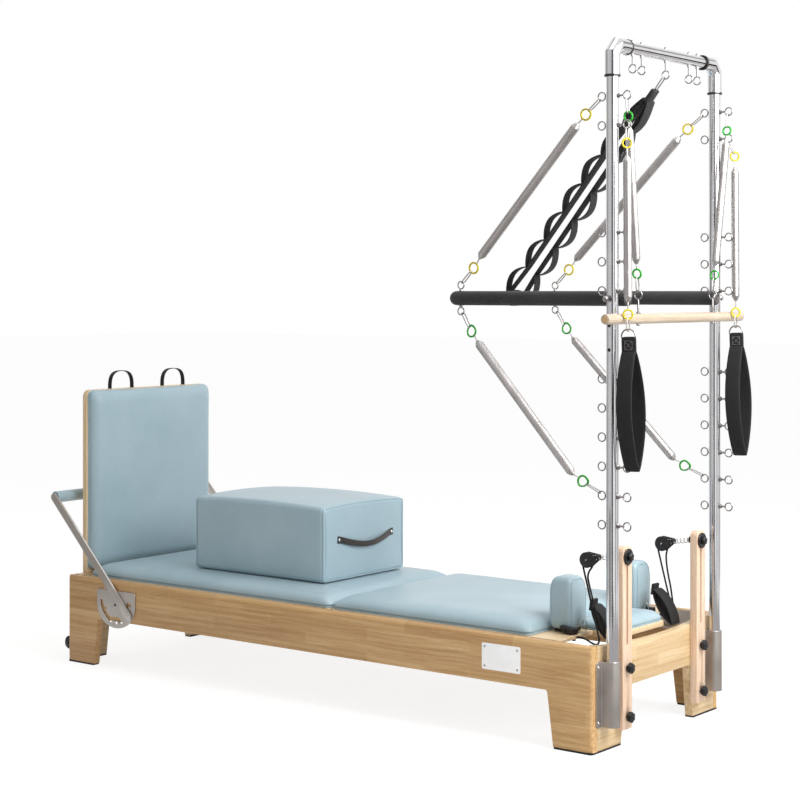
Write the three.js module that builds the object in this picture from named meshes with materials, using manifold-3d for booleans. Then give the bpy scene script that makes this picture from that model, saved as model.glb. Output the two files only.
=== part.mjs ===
// A wooden pilates reformer with a half-trapeze tower, a mat insert, a sitting box and a jump board.
// Millimetres, +Z up, +X towards the tower, -Y is the near side. The floor is z = 0.
import * as THREE from "three";
import { mergeVertices } from "three/addons/utils/BufferGeometryUtils.js";
import Module from "manifold-3d";

const wasm = await Module();
wasm.setup();

// Driving dimensions

const fit = 0.3; // gap between pieces that touch
const overrun = 5; // how far a cutter passes the face that it cuts
const curveSteps = 3; // straight pieces in each rounded corner of an outline
const tidyDistance = 0.02; // corners nearer to a face or an edge than this are taken out of it

const frame = {
  length: 2300,
  width: 789,
  top: 323,
  board: 30,
  railBottom: 175,
  sideLegTop: 161,
  sideLegFoot: 138,
  endLegTop: 190,
  endLegFoot: 170,
  topRound: 18,
  cornerRound: 12,
  towerEndDip: 23,
};

const track = {
  height: 62,
  ledge: 32,
  thickness: 5,
  top: 263,
};

const springBar = {
  x: -1040,
  z: 215,
  width: 30,
  height: 14,
  hookRadius: 5,
  hookHeight: 22,
  hookCount: 5,
  hookSpacing: 80,
};

const tower = {
  tubeRadius: 19,
  bore: 16.5,
  standOff: 27,
  halfSpan: 322,
  foot: 80,
  crossbarZ: 2128,
};

const eye = {
  steps: 6,
  wire: 2,
  ringRadius: 12.8,
  frontReach: 51,
  backReach: 37,
  shankRadius: 3,
  nutRadius: 6,
  spacing: 88,
  lowRow: 682,
  lowCount: 6,
  middleRow: 1387,
  middleCount: 3,
  highRow: 1885,
  highCount: 2,
};

const elbow = {
  radius: 23,
  sleeve: 44,
  bend: 26,
  reach: 82,
  drop: 93,
};

const crossbarEye = {
  inner: 148.5,
  outer: 203,
  drop: 62,
  acornRadius: 5,
  acornHeight: 8,
};

const bracket = {
  bottom: 77,
  height: 197,
  width: 105,
  thickness: 4,
};

const riser = {
  y: 232,
  width: 55,
  thickness: 26,
  bottom: 53,
  top: 609,
  topRound: 18,
  slotBottom: 309,
  slotTop: 586,
  slotWidth: 9,
  knobLow: 91,
  knobHigh: 240,
  knobRadius: 16,
  knobLength: 15,
  stemRadius: 8,
  stemLength: 5,
};

const pulley = {
  boltZ: 578,
  boltRadius: 3.5,
  flangeRadius: 25,
  flangeThickness: 6,
  hubRadius: 12,
  hubLength: 12,
  seatRadius: 10,
  seatLength: 16,
  wheelX: 1034,
  wheelZ: 556,
  noseX: 1079,
  noseZ: 567,
  noseRadius: 9,
  cheekRadius: 24.5,
  cheekThickness: 3,
  wheelRadius: 22,
  grooveRadius: 16,
  wheelWidth: 13,
  axleRadius: 3.5,
  coilRadius: 7.5,
  coilWire: 1.3,
  coilTurns: 4.5,
};

const bar = {
  pivotZ: 1364,
  armY: 278,
  outerX: 556,
  cornerRadius: 26,
  pastPivot: 28,
  foamRadius: 23,
  tubeRadius: 15,
  tubeBore: 12,
  eyeX: 584,
  eyeReach: 42,
  eyeRing: 12,
  eyeSteps: 8,
  pinRadius: 5,
  pinHeadRadius: 9,
  pinHeadLength: 17,
  pinNeck: 12,
};

const spring = {
  neckRadius: 4,
  taper: 25,
  armLength: 552,
  hangLength: 405,
  postSeat: 0.8,
  barSeat: 1.2,
  topSeat: 1.4,
  rolldownSeat: 2.3,
  strapSeat: 1.5,
  dRingSeat: 0.35,
  leanSeat: 1.3,
  longClip: 54,
  shortClip: 44,
  clipRadius: 7,
  clipWire: 2,
  hookWire: 2,
};

const armSpring = {
  bodyRadius: 13.5,
  ringRadius: 17,
  ringWire: 2.2,
  turnDegrees: 0,
  upperSag: 9,
  lowerSag: 22,
};

const hangSpring = {
  bodyRadius: 12.4,
  ringRadius: 13.8,
  ringWire: 2,
  turnDegrees: 0,
};

// A hand spring's rings stand turned, clear of the roll-down bar beside them.
const handSpringSize = {
  bodyRadius: 12.4,
  ringRadius: 13.8,
  ringWire: 2,
  turnDegrees: 42,
};

const rolldown = {
  x: 38.5,
  z: 1303,
  halfLength: 429,
  radius: 15.8,
  eyeRing: 13,
  eyeY: 236,
  eyeReach: 72,
  nutReach: 22,
};

const hand = {
  y: 342,
  springTopX: 62.5,
  springX: 66.5,
  clipDrop: 38,
  loopTop: 1246,
  tabBottom: 1209,
  loopBottom: 850,
  webWidth: 50,
  webThickness: 4,
  tabThickness: 6,
  halfOpening: 38,
  leanDegrees: 2,
  dRingRadius: 9,
  dRingWire: 2.2,
  dRingStraight: 30,
};

const strap = {
  y: 70,
  webWidth: 22,
  webThickness: 3,
  barOffset: 27,
  legOffset: 20,
  topOffset: 7,
  waveHeight: 30,
  waves: 7,
  clip: 54,
  tabLength: 40,
  tabThickness: 14,
  wrapRadius: 24,
  wrapWall: 4,
  wrapLength: 50,
};

const wheel = {
  radius: 22,
  width: 22,
  axleRadius: 5,
  frontX: 190,
  rearX: 820,
  y: 347,
};

const carriage = {
  start: 100,
  cushionEnd: 898,
  deckEnd: 1005,
  notchStart: 902,
  notchHalfWidth: 153,
  halfWidth: 353,
  boardTop: 322,
  boardThickness: 12,
  cornerSmall: 6,
  cornerLarge: 12,
  earLength: 30,
  earThickness: 16,
  earDepth: 34,
  earY: 300,
  welded: 1,
};

const cushionTop = 372;

const mat = {
  start: -1074,
  end: 93,
  corner: 6,
  welded: 1,
  runnerThickness: 20,
  runnerY: 345,
  runnerFromStart: 8,
  runnerFromEnd: 30,
};

const box = {
  centreX: -359,
  centreY: 16,
  length: 617,
  width: 458,
  height: 265,
  round: 14,
  handleHalfSpan: 144,
  handleWidth: 24,
  handleThickness: 3,
  handleBulge: 17,
  handleDroop: 25,
  handleZ: 516,
  handleEnd: 26,
  handleInset: 0.9,
};

const jump = {
  boardThickness: 22,
  halfWidth: 322,
  top: 1013,
  corner: 26,
  padThickness: 51,
  padInset: 4,
  padBottom: 334,
  tongueY: 200,
  tongueWidth: 40,
  tongueThickness: 6,
  tongueDepth: 60,
  loopY: 140,
  loopHalfWidth: 62,
  loopHeight: 66,
  loopWeb: 25,
  loopThickness: 2.5,
};

const rest = {
  x: 941,
  y: 200,
  length: 80,
  width: 98,
  bottom: 333,
  top: 494,
  pegRadius: 6,
  pegSpacing: 44,
  pegLength: 30,
  baseLength: 62,
  baseWidth: 60,
};

const head = {
  start: 912,
  end: 1090,
  halfWidth: 149,
  boardBottom: 304,
  boardThickness: 18,
  pinX: 922,
  pinZ: 316,
  pinRadius: 3,
  cushionStart: 936,
  cushionTop: 358,
};

const footbar = {
  pivotX: -881,
  pivotZ: 238,
  rollX: -1216,
  rollZ: 610,
  tailX: -817,
  tailZ: 203,
  armWidth: 30,
  armThickness: 8,
  tubeRadius: 12,
  padRadius: 21.5,
  pinRadius: 6,
  pinHead: 9,
  plateStart: -987,
  plateEnd: -788,
  plateTop: 289,
  plateBottom: 152,
  plateThickness: 5,
  slotRadius: 66,
  slotWidth: 10,
};

const transport = {
  radius: 25,
  width: 22,
  x: -1195,
  z: 57,
  y: 340,
  axleRadius: 5,
  earThickness: 5,
  earHeight: 30,
};

const loop = {
  y: 190,
  width: 40,
  thickness: 4,
};

const rope = {
  radius: 3,
};

// The carriage springs, parked under the deck.
const parked = {
  start: 230,
  barWidth: 20,
  barDepth: 26,
  springEnd: 700,
  radius: 11,
  welded: 1,
};

// Places along X and Y are stated for a frame of this half length and half width. Where the frame's own size
// changes, the pieces at each end and at each side keep their distance from it.
const stated = {
  halfLength: 1150,
  halfWidth: 394.5,
};
const endGrowth = frame.length / 2 - stated.halfLength;
const sideGrowth = frame.width / 2 - stated.halfWidth;

function grow(group, growth, ...names) {
  for (const name of names) group[name] += growth;
}

grow(bar, endGrowth, "outerX", "eyeX");
grow(pulley, endGrowth, "wheelX", "noseX");
grow(wheel, endGrowth, "frontX", "rearX");
grow(carriage, endGrowth, "start", "cushionEnd", "deckEnd", "notchStart");
grow(mat, endGrowth, "end");
grow(rest, endGrowth, "x");
grow(head, endGrowth, "start", "end", "pinX", "cushionStart");
grow(parked, endGrowth, "start", "springEnd");
grow(springBar, -endGrowth, "x");
grow(mat, -endGrowth, "start");
grow(footbar, -endGrowth, "pivotX", "rollX", "tailX", "plateStart", "plateEnd");
grow(transport, -endGrowth, "x");
grow(tower, sideGrowth, "halfSpan");
grow(bar, sideGrowth, "armY");
grow(riser, sideGrowth, "y");
grow(hand, sideGrowth, "y");
grow(rolldown, sideGrowth, "halfLength", "eyeY");
grow(crossbarEye, sideGrowth, "inner", "outer");
grow(wheel, sideGrowth, "y");
grow(carriage, sideGrowth, "halfWidth", "notchHalfWidth", "earY");
grow(head, sideGrowth, "halfWidth");
grow(mat, sideGrowth, "runnerY");
grow(rest, sideGrowth, "y");
grow(loop, sideGrowth, "y");
grow(jump, sideGrowth, "halfWidth", "tongueY");
grow(transport, sideGrowth, "y");

// Values worked out from the driving dimensions

const halfLength = frame.length / 2;
const halfWidth = frame.width / 2;
const innerY = halfWidth - frame.board - fit;
const uprightX = halfLength + tower.standOff;
const eyeRows = [
  [eye.lowRow, eye.lowCount],
  [eye.middleRow, eye.middleCount],
  [eye.highRow, eye.highCount],
].flatMap(([start, count]) => Array.from({ length: count }, (_, row) => start + row * eye.spacing));
const topEyeZ = eye.highRow + eye.spacing;
const handEyeZ = eye.highRow;
const boardUnderside = carriage.boardTop - carriage.boardThickness;
const octagonShare = Math.cos(Math.PI / 8);

// Materials, in the colours of the real finishes

const finish = (color, roughness, metalness) => new THREE.MeshStandardMaterial({ color, roughness, metalness });
const ash = finish(0xc9a878, 0.55, 0);
const paleBeech = finish(0xe2cbb3, 0.5, 0);
const plywood = finish(0xe0bf94, 0.55, 0);
const chrome = finish(0xd8dade, 0.12, 1);
const aluminium = finish(0xb5b0ab, 0.4, 0.9);
const zincSteel = finish(0xb8b4b0, 0.35, 0.9);
const blueLeather = finish(0x9db9c4, 0.5, 0);
const blackFoam = finish(0x353334, 0.9, 0);
const blackWebbing = finish(0x262424, 0.85, 0);
const blackPlastic = finish(0x1c1c1e, 0.4, 0);
const blackRope = finish(0x202022, 0.8, 0);
const greySpring = finish(0xb9b5b1, 0.35, 0.9);
const rubber = finish(0x1a1a1b, 0.85, 0);

// Closed geometry

// How much a mesh holds, negative where its faces point inwards.
function signedVolume(positions, corners) {
  const [a, b, c] = [new THREE.Vector3(), new THREE.Vector3(), new THREE.Vector3()];
  let sum = 0;
  for (let i = 0; i < corners.length; i += 3) {
    a.fromArray(positions, corners[i] * 3);
    b.fromArray(positions, corners[i + 1] * 3);
    c.fromArray(positions, corners[i + 2] * 3);
    sum += a.dot(b.cross(c));
  }
  return sum / 6;
}

// A geometry as a solid: shared corners merged, slivers dropped and faces turned outwards.
function solid(geometry) {
  const bare = geometry.clone();
  bare.deleteAttribute("normal");
  bare.deleteAttribute("uv");
  const merged = mergeVertices(bare);
  const positions = merged.attributes.position.array;
  let corners = [];
  for (let i = 0; i < merged.index.count; i += 3) {
    const [a, b, c] = merged.index.array.slice(i, i + 3);
    if (a !== b && b !== c && c !== a) corners.push(a, b, c);
  }
  if (signedVolume(positions, corners) < 0) corners = corners.reverse();
  const mesh = new wasm.Mesh({ numProp: 3, vertProperties: positions, triVerts: new Uint32Array(corners) });
  return new wasm.Manifold(mesh);
}

function geometryOf(manifold) {
  const mesh = manifold.asOriginal().simplify(tidyDistance).getMesh();
  const geometry = new THREE.BufferGeometry();
  geometry.setAttribute("position", new THREE.BufferAttribute(new Float32Array(mesh.vertProperties), 3));
  geometry.setIndex(new THREE.BufferAttribute(new Uint32Array(mesh.triVerts), 1));
  return geometry;
}

function join(...pieces) {
  return geometryOf(pieces.map(solid).reduce((whole, piece) => whole.add(piece)));
}

function cut(base, ...tools) {
  return geometryOf(tools.map(solid).reduce((whole, tool) => whole.subtract(tool), solid(base)));
}

function meet(...pieces) {
  return geometryOf(pieces.map(solid).reduce((whole, piece) => whole.intersect(piece)));
}

// Basic forms

function block([x0, x1], [y0, y1], [z0, z1]) {
  const geometry = new THREE.BoxGeometry(x1 - x0, y1 - y0, z1 - z0);
  return geometry.translate((x0 + x1) / 2, (y0 + y1) / 2, (z0 + z1) / 2);
}

function rodX(radius, [x0, x1], y, z, sides = 8) {
  const geometry = new THREE.CylinderGeometry(radius, radius, x1 - x0, sides);
  return geometry.rotateZ(Math.PI / 2).translate((x0 + x1) / 2, y, z);
}

function rodY(radius, x, [y0, y1], z, sides = 8) {
  return new THREE.CylinderGeometry(radius, radius, y1 - y0, sides).translate(x, (y0 + y1) / 2, z);
}

// The radius of an eight-sided bore in which a round pin of a given radius turns freely.
function boreFor(radius) {
  return (radius + fit) / octagonShare;
}

function rodZ(radius, x, y, [z0, z1], sides = 8) {
  const geometry = new THREE.CylinderGeometry(radius, radius, z1 - z0, sides);
  return geometry.rotateX(Math.PI / 2).translate(x, y, (z0 + z1) / 2);
}

// A torus with its hole along X, Y or Z.
function ring(radius, wire, [x, y, z], along = "Y", sides = 4, steps = 8) {
  const geometry = new THREE.TorusGeometry(radius, wire, sides, steps);
  if (along === "Y") geometry.rotateX(Math.PI / 2);
  if (along === "X") geometry.rotateY(Math.PI / 2);
  return geometry.translate(x, y, z);
}

// A wire link with straight sides, long along Z, with its hole along X. It spans z = 0 to length.
function link(radius, wire, length) {
  const geometry = new THREE.TorusGeometry(radius, wire, 3, 8).rotateZ(Math.PI / 8);
  const places = geometry.attributes.position;
  const straight = length - 2 * radius * octagonShare;
  for (let i = 0; i < places.count; i++) {
    const y = places.getY(i);
    places.setY(i, y + (Math.sign(y) * straight) / 2);
  }
  geometry.applyMatrix4(basis([0, 1, 0], [0, 0, 1], [1, 0, 0]));
  return geometry.translate(0, 0, length / 2);
}

function basis(first, second, third) {
  return new THREE.Matrix4().makeBasis(
    new THREE.Vector3(...first),
    new THREE.Vector3(...second),
    new THREE.Vector3(...third),
  );
}

// A turned form about Z, from [radius, z] pairs that start and end on the axis or close on themselves.
function turned(profile, sides = 12) {
  const points = profile.map(([radius, z]) => new THREE.Vector2(radius, z));
  return new THREE.LatheGeometry(points, sides).rotateX(Math.PI / 2);
}

// An outline through [x, y, radius] corners, each one rounded by its own radius.
function rounded(corners, Kind = THREE.Shape) {
  const shape = new Kind();
  corners.forEach(([x, y, radius = 0], i) => {
    const here = new THREE.Vector2(x, y);
    const [px, py] = corners[(i + corners.length - 1) % corners.length];
    const [nx, ny] = corners[(i + 1) % corners.length];
    const before = new THREE.Vector2(px - x, py - y).normalize().multiplyScalar(radius).add(here);
    const after = new THREE.Vector2(nx - x, ny - y).normalize().multiplyScalar(radius).add(here);
    if (i === 0) shape.moveTo(before.x, before.y);
    else shape.lineTo(before.x, before.y);
    if (radius > 0) shape.quadraticCurveTo(x, y, after.x, after.y);
  });
  shape.closePath();
  return shape;
}

function rectangle([x0, x1], [y0, y1], radius = 0) {
  return rounded([[x0, y0, radius], [x1, y0, radius], [x1, y1, radius], [x0, y1, radius]]);
}

function extruded(shape, depth) {
  return new THREE.ExtrudeGeometry(shape, { depth, bevelEnabled: false, curveSegments: curveSteps });
}

// An outline in x and z, given a thickness in y.
function slabXZ(shape, [y0, y1]) {
  return extruded(shape, y1 - y0).rotateX(Math.PI / 2).translate(0, y1, 0);
}

// An outline in y and z, given a thickness in x.
function slabYZ(shape, [x0, x1]) {
  const geometry = extruded(shape, x1 - x0);
  return geometry.applyMatrix4(basis([0, 1, 0], [0, 0, 1], [1, 0, 0])).translate(x0, 0, 0);
}

function slabXY(shape, [z0, z1]) {
  return extruded(shape, z1 - z0).translate(0, 0, z0);
}

// A route through its own points, with one step of an extrusion for each.
class Route extends THREE.Curve {
  constructor(points) {
    super();
    this.points = points.map((point) => new THREE.Vector3(...point));
  }
  getPoint(share, target = new THREE.Vector3()) {
    const last = this.points.length - 1;
    const step = Math.min(Math.floor(share * last + 1e-9), last - 1);
    return target.lerpVectors(this.points[step], this.points[step + 1], share * last - step);
  }
  getPointAt(share, target) {
    return this.getPoint(share, target);
  }
  getTangentAt(share, target = new THREE.Vector3()) {
    const at = Math.round(share * (this.points.length - 1));
    const before = this.points[Math.max(at - 1, 0)];
    const here = this.points[at];
    const after = this.points[Math.min(at + 1, this.points.length - 1)];
    const arriving = here.clone().sub(before).normalize();
    const leaving = after.clone().sub(here).normalize();
    return target.copy(arriving).add(leaving).normalize();
  }
}

function polygon(radius, sides, Kind = THREE.Path) {
  const corners = Array.from({ length: sides }, (_, i) => {
    const turn = ((i + 0.5) * 2 * Math.PI) / sides;
    return new THREE.Vector2(radius * Math.cos(turn), radius * Math.sin(turn));
  });
  return new Kind(corners);
}

// A round tube along points, hollow if it has a bore.
function tube(points, radius, sides = 10, bore = 0) {
  const section = polygon(radius, sides, THREE.Shape);
  if (bore > 0) section.holes.push(polygon(bore, sides));
  const extrudePath = new Route(points);
  return new THREE.ExtrudeGeometry(section, { steps: points.length - 1, extrudePath, bevelEnabled: false });
}

// Points beside a line of 2D points, a distance to its left.
function beside(points, distance, closedLine) {
  return points.map((point, i) => {
    const last = points.length - 1;
    const before = points[i > 0 ? i - 1 : closedLine ? last : 0];
    const after = points[i < last ? i + 1 : closedLine ? 0 : last];
    const along = new THREE.Vector2(after[0] - before[0], after[1] - before[1]).normalize();
    return [point[0] - along.y * distance, point[1] + along.x * distance];
  });
}

// A strip of one thickness along a line of 2D points, as an outline.
function band(points, thickness, closedLine = false) {
  const left = beside(points, thickness / 2, closedLine);
  const right = beside(points, -thickness / 2, closedLine);
  const toVectors = (pairs) => pairs.map(([x, y]) => new THREE.Vector2(x, y));
  if (!closedLine) return new THREE.Shape(toVectors([...left, ...right.reverse()]));
  const shape = new THREE.Shape(toVectors(right));
  shape.holes.push(new THREE.Path(toVectors(left)));
  return shape;
}

// Cushions

// Each level of a cushion as a share of its rounding inwards, of its wall height and of its crown.
const cushionLevelShares = [
  [0.8, 0, 0],
  [0, 0.3, 0],
  [0, 0.7, 0],
  [0.35, 0.93, 0],
  [1, 1, 0],
  [3, 1, 0.6],
  [6, 1, 0.95],
];
const cornerSteps = 2;
const edgeSteps = 4;

// One level of a cushion: a rectangle with round corners, its sides drawn in between them.
function cushionLevel(halfX, halfY, corner, drawIn, z) {
  const points = [];
  const centres = [
    [halfX - corner, halfY - corner, 0],
    [corner - halfX, halfY - corner, 1],
    [corner - halfX, corner - halfY, 2],
    [halfX - corner, corner - halfY, 3],
  ];
  centres.forEach(([x, y, quarter], i) => {
    for (let step = 0; step <= cornerSteps; step++) {
      const turn = ((quarter + step / cornerSteps) * Math.PI) / 2;
      points.push([x + corner * Math.cos(turn), y + corner * Math.sin(turn), z]);
    }
    const [nextX, nextY, nextQuarter] = centres[(i + 1) % 4];
    const turn = (nextQuarter * Math.PI) / 2;
    const outwards = [Math.cos(turn), Math.sin(turn)];
    const from = [x + corner * outwards[0], y + corner * outwards[1]];
    const to = [nextX + corner * outwards[0], nextY + corner * outwards[1]];
    for (let step = 1; step < edgeSteps; step++) {
      const share = step / edgeSteps;
      const pull = drawIn * Math.sin(Math.PI * share);
      points.push([
        from[0] + (to[0] - from[0]) * share - pull * outwards[0],
        from[1] + (to[1] - from[1]) * share - pull * outwards[1],
        z,
      ]);
    }
  });
  return points;
}

// A stuffed form on z = 0, centred on x and y: flat below, with drawn-in sides and a crowned top.
function cushion({ length, width, height, crown, round, corner, drawIn }) {
  const wall = height - crown;
  const levels = cushionLevelShares.map(([inwards, wallShare, crownShare]) => {
    const inset = Math.min(inwards * round, width * 0.32, length * 0.32);
    const cornerHere = Math.max(corner - inset, corner * 0.3);
    const z = wall * wallShare + crown * crownShare;
    return cushionLevel(length / 2 - inset, width / 2 - inset, cornerHere, drawIn, z);
  });
  const around = levels[0].length;
  const positions = levels.flat(2);
  const bottomCentre = levels.length * around;
  positions.push(0, 0, 0, 0, 0, height);
  const corners = [];
  for (let i = 0; i < around; i++) {
    const next = (i + 1) % around;
    corners.push(bottomCentre, next, i);
    levels.slice(1).forEach((_, level) => {
      const [low, high] = [level * around, (level + 1) * around];
      corners.push(low + i, low + next, high + next, low + i, high + next, high + i);
    });
    const top = (levels.length - 1) * around;
    corners.push(top + i, top + next, bottomCentre + 1);
  }
  const geometry = new THREE.BufferGeometry();
  geometry.setAttribute("position", new THREE.Float32BufferAttribute(positions, 3));
  geometry.setIndex(corners);
  return geometry;
}

// Frame boards

function sideBoard(side) {
  const { sideLegTop, sideLegFoot, railBottom, top } = frame;
  const outline = rounded([
    [-halfLength, 0],
    [sideLegFoot - halfLength, 0],
    [sideLegTop - halfLength, railBottom, frame.cornerRound],
    [halfLength - sideLegTop, railBottom, frame.cornerRound],
    [halfLength - sideLegFoot, 0],
    [halfLength, 0],
    [halfLength, top],
    [-halfLength, top],
  ]);
  const section = rounded([
    [halfWidth - frame.board, 0],
    [halfWidth, 0],
    [halfWidth, top, frame.topRound],
    [halfWidth - frame.board, top, frame.board - frame.topRound - fit],
  ]);
  const plan = rounded([
    [halfLength, halfWidth - frame.board],
    [halfLength, halfWidth, frame.cornerRound],
    [-halfLength, halfWidth, frame.cornerRound],
    [-halfLength, halfWidth - frame.board],
  ]);
  const board = meet(
    slabXZ(outline, [halfWidth - frame.board, halfWidth]),
    slabYZ(section, [-halfLength, halfLength]),
    slabXY(plan, [0, top]),
  );
  const bored = cut(board, rodY(boreFor(footbar.pinRadius), footbar.pivotX, [innerY, halfWidth + overrun], footbar.pivotZ));
  return side > 0 ? bored : mirrored(bored);
}

function mirrored(geometry) {
  return geometry.clone().scale(1, -1, 1);
}

// The outline of an end board, with its top edge dipped in the middle.
function endOutline(dip) {
  const leg = frame.board + fit;
  const legTop = halfWidth - frame.endLegTop;
  const legFoot = halfWidth - frame.endLegFoot;
  const edge = halfWidth - leg;
  const shape = new THREE.Shape();
  shape.moveTo(-edge, 0);
  shape.lineTo(-legFoot, 0);
  shape.lineTo(-legTop, frame.railBottom);
  shape.lineTo(legTop, frame.railBottom);
  shape.lineTo(legFoot, 0);
  shape.lineTo(edge, 0);
  shape.lineTo(edge, frame.top);
  if (dip > 0) {
    const steps = 8;
    for (let i = 1; i < steps; i++) {
      const share = i / steps;
      const drop = dip * Math.sin(Math.PI * share) ** 0.8;
      shape.lineTo(edge - 2 * edge * share, frame.top - drop);
    }
  }
  shape.lineTo(-edge, frame.top);
  shape.closePath();
  return shape;
}

function towerEndBoard() {
  return slabYZ(endOutline(frame.towerEndDip), [halfLength - frame.board, halfLength]);
}

// The ears and the axle that hold one transport wheel on the foot end.
function transportHolder(y) {
  const { earThickness, earHeight, width, x, z, axleRadius } = transport;
  const gap = width / 2 + fit;
  const earShape = rounded([
    [-halfLength + 1, z - earHeight / 2],
    [-halfLength + 1, z + earHeight / 2],
    [x - earHeight / 2, z + earHeight / 2, earHeight / 3],
    [x - earHeight / 2, z - earHeight / 2, earHeight / 3],
  ]);
  const ear = (from) => slabXZ(earShape, [from, from + earThickness]);
  return join(
    ear(y - gap - earThickness),
    ear(y + gap),
    rodY(axleRadius, x, [y - gap - 1, y + gap + 1], z),
  );
}

function footEndBoard() {
  const board = slabYZ(endOutline(0), [-halfLength, frame.board - halfLength]);
  return join(board, transportHolder(transport.y), transportHolder(-transport.y));
}

function transportWheel(y) {
  const { radius, width, axleRadius, x, z } = transport;
  const half = width / 2;
  const round = radius / 6;
  const profile = [
    [axleRadius + fit, -half],
    [radius - round, -half],
    [radius, round - half],
    [radius, half - round],
    [radius - round, half],
    [axleRadius + fit, half],
    [axleRadius + fit, -half],
  ];
  return turned(profile, 14).rotateX(Math.PI / 2).translate(x, y, z);
}

// The L-shaped rail that the carriage wheels run on.
function wheelTrack(side) {
  const wall = innerY - track.thickness;
  const shape = rounded([
    [innerY - track.ledge, track.top - track.thickness],
    [innerY, track.top - track.thickness],
    [innerY, track.top - track.thickness + track.height],
    [wall, track.top - track.thickness + track.height],
    [wall, track.top],
    [innerY - track.ledge, track.top],
  ]);
  const reach = halfLength - frame.board - fit;
  const rail = slabYZ(shape, [-reach, reach]);
  return side > 0 ? rail : mirrored(rail);
}

function springAnchor() {
  const { x, z, width, height, hookRadius, hookHeight, hookCount, hookSpacing } = springBar;
  const flat = block([x - width / 2, x + width / 2], [-innerY, innerY], [z - height / 2, z + height / 2]);
  const hooks = Array.from({ length: hookCount }, (_, i) => {
    const y = (i - (hookCount - 1) / 2) * hookSpacing;
    return rodZ(hookRadius, x, y, [z, z + height / 2 + hookHeight], 6);
  });
  return join(flat, ...hooks);
}

// Tower

// One eyebolt through an upright: a ring tight behind the tube and a ring on a longer neck in front.
function uprightEye(y, z) {
  const front = uprightX + eye.frontReach;
  const back = uprightX - eye.backReach;
  const neck = [back + eye.ringRadius - eye.wire, front - eye.ringRadius + eye.wire];
  return [
    ring(eye.ringRadius, eye.wire, [front, y, z], "Y", 3, eye.steps),
    ring(eye.ringRadius, eye.wire, [back, y, z], "Y", 3, eye.steps),
    rodX(eye.shankRadius, neck, y, z, 3),
  ];
}

function upright(side) {
  const y = side * tower.halfSpan;
  const topZ = tower.crossbarZ - elbow.reach + elbow.sleeve - fit;
  const profile = [
    [tower.bore, tower.foot],
    [tower.tubeRadius, tower.foot],
    [tower.tubeRadius, topZ],
    [tower.bore, topZ],
    [tower.bore, tower.foot],
  ];
  const tubeForm = turned(profile, 12).translate(uprightX, y, 0);
  const whole = join(tubeForm, ...eyeRows.flatMap((z) => uprightEye(y, z)));
  const reach = [y - tower.tubeRadius - overrun, y + tower.tubeRadius + overrun];
  return cut(whole, rodY(boreFor(bar.pinRadius), uprightX, reach, bar.pivotZ));
}

// The corner sleeve between an upright and the crossbar, with its outer corner chamfered.
function elbowSleeve(side) {
  const low = tower.crossbarZ - elbow.drop;
  const inner = tower.halfSpan - elbow.reach;
  const points = [
    [uprightX, tower.halfSpan, low],
    [uprightX, tower.halfSpan, tower.crossbarZ - elbow.reach + elbow.sleeve],
    [uprightX, tower.halfSpan, tower.crossbarZ - elbow.bend],
    [uprightX, tower.halfSpan - elbow.bend, tower.crossbarZ],
    [uprightX, inner + elbow.sleeve, tower.crossbarZ],
    [uprightX, inner, tower.crossbarZ],
  ];
  const sleeve = tube(points, elbow.radius, 12, tower.tubeRadius / Math.cos(Math.PI / 12) + fit);
  return side > 0 ? sleeve : mirrored(sleeve);
}

function crossbar() {
  const z = tower.crossbarZ;
  const end = tower.halfSpan - elbow.reach + elbow.sleeve - fit;
  const profile = [
    [tower.bore, -end],
    [tower.tubeRadius, -end],
    [tower.tubeRadius, end],
    [tower.bore, end],
    [tower.bore, -end],
  ];
  const tubeForm = turned(profile, 12).rotateX(Math.PI / 2).translate(uprightX, 0, z);
  const { inner, outer, drop, acornRadius, acornHeight } = crossbarEye;
  const eyes = [-outer, -inner, 0, inner, outer].flatMap((y) => [
    rodZ(eye.shankRadius, uprightX, y, [z - drop + eye.ringRadius - eye.wire, z + tower.tubeRadius + 1], 3),
    ring(eye.ringRadius, eye.wire, [uprightX, y, z - drop], "Y", 3, bar.eyeSteps),
    rodZ(acornRadius, uprightX, y, [z + tower.tubeRadius - 1, z + tower.tubeRadius + acornHeight], 5),
  ]);
  return join(tubeForm, ...eyes);
}

// A folded plate with a channel round the foot of the upright and a flange on each side.
function towerBracket(side) {
  const { bottom, height, width, thickness } = bracket;
  const face = halfLength + fit;
  const inner = tower.tubeRadius + fit;
  const outer = inner + thickness;
  const steps = 6;
  const arc = (radius, turnBack) =>
    Array.from({ length: steps + 1 }, (_, i) => {
      const turn = ((turnBack ? steps - i : i) / steps - 0.5) * Math.PI;
      return [uprightX + radius * Math.cos(turn), radius * Math.sin(turn)];
    });
  const stretched = inner / Math.cos(Math.PI / (2 * steps));
  const corners = [
    [face, -width / 2],
    [face + thickness, -width / 2],
    [face + thickness, -outer],
    ...arc(outer, false),
    [face + thickness, outer],
    [face + thickness, width / 2],
    [face, width / 2],
    [face, inner],
    ...arc(stretched, true),
    [face, -inner],
  ];
  const plate = slabXY(rounded(corners), [bottom, bottom + height]);
  return plate.translate(0, side * tower.halfSpan, 0);
}

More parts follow.
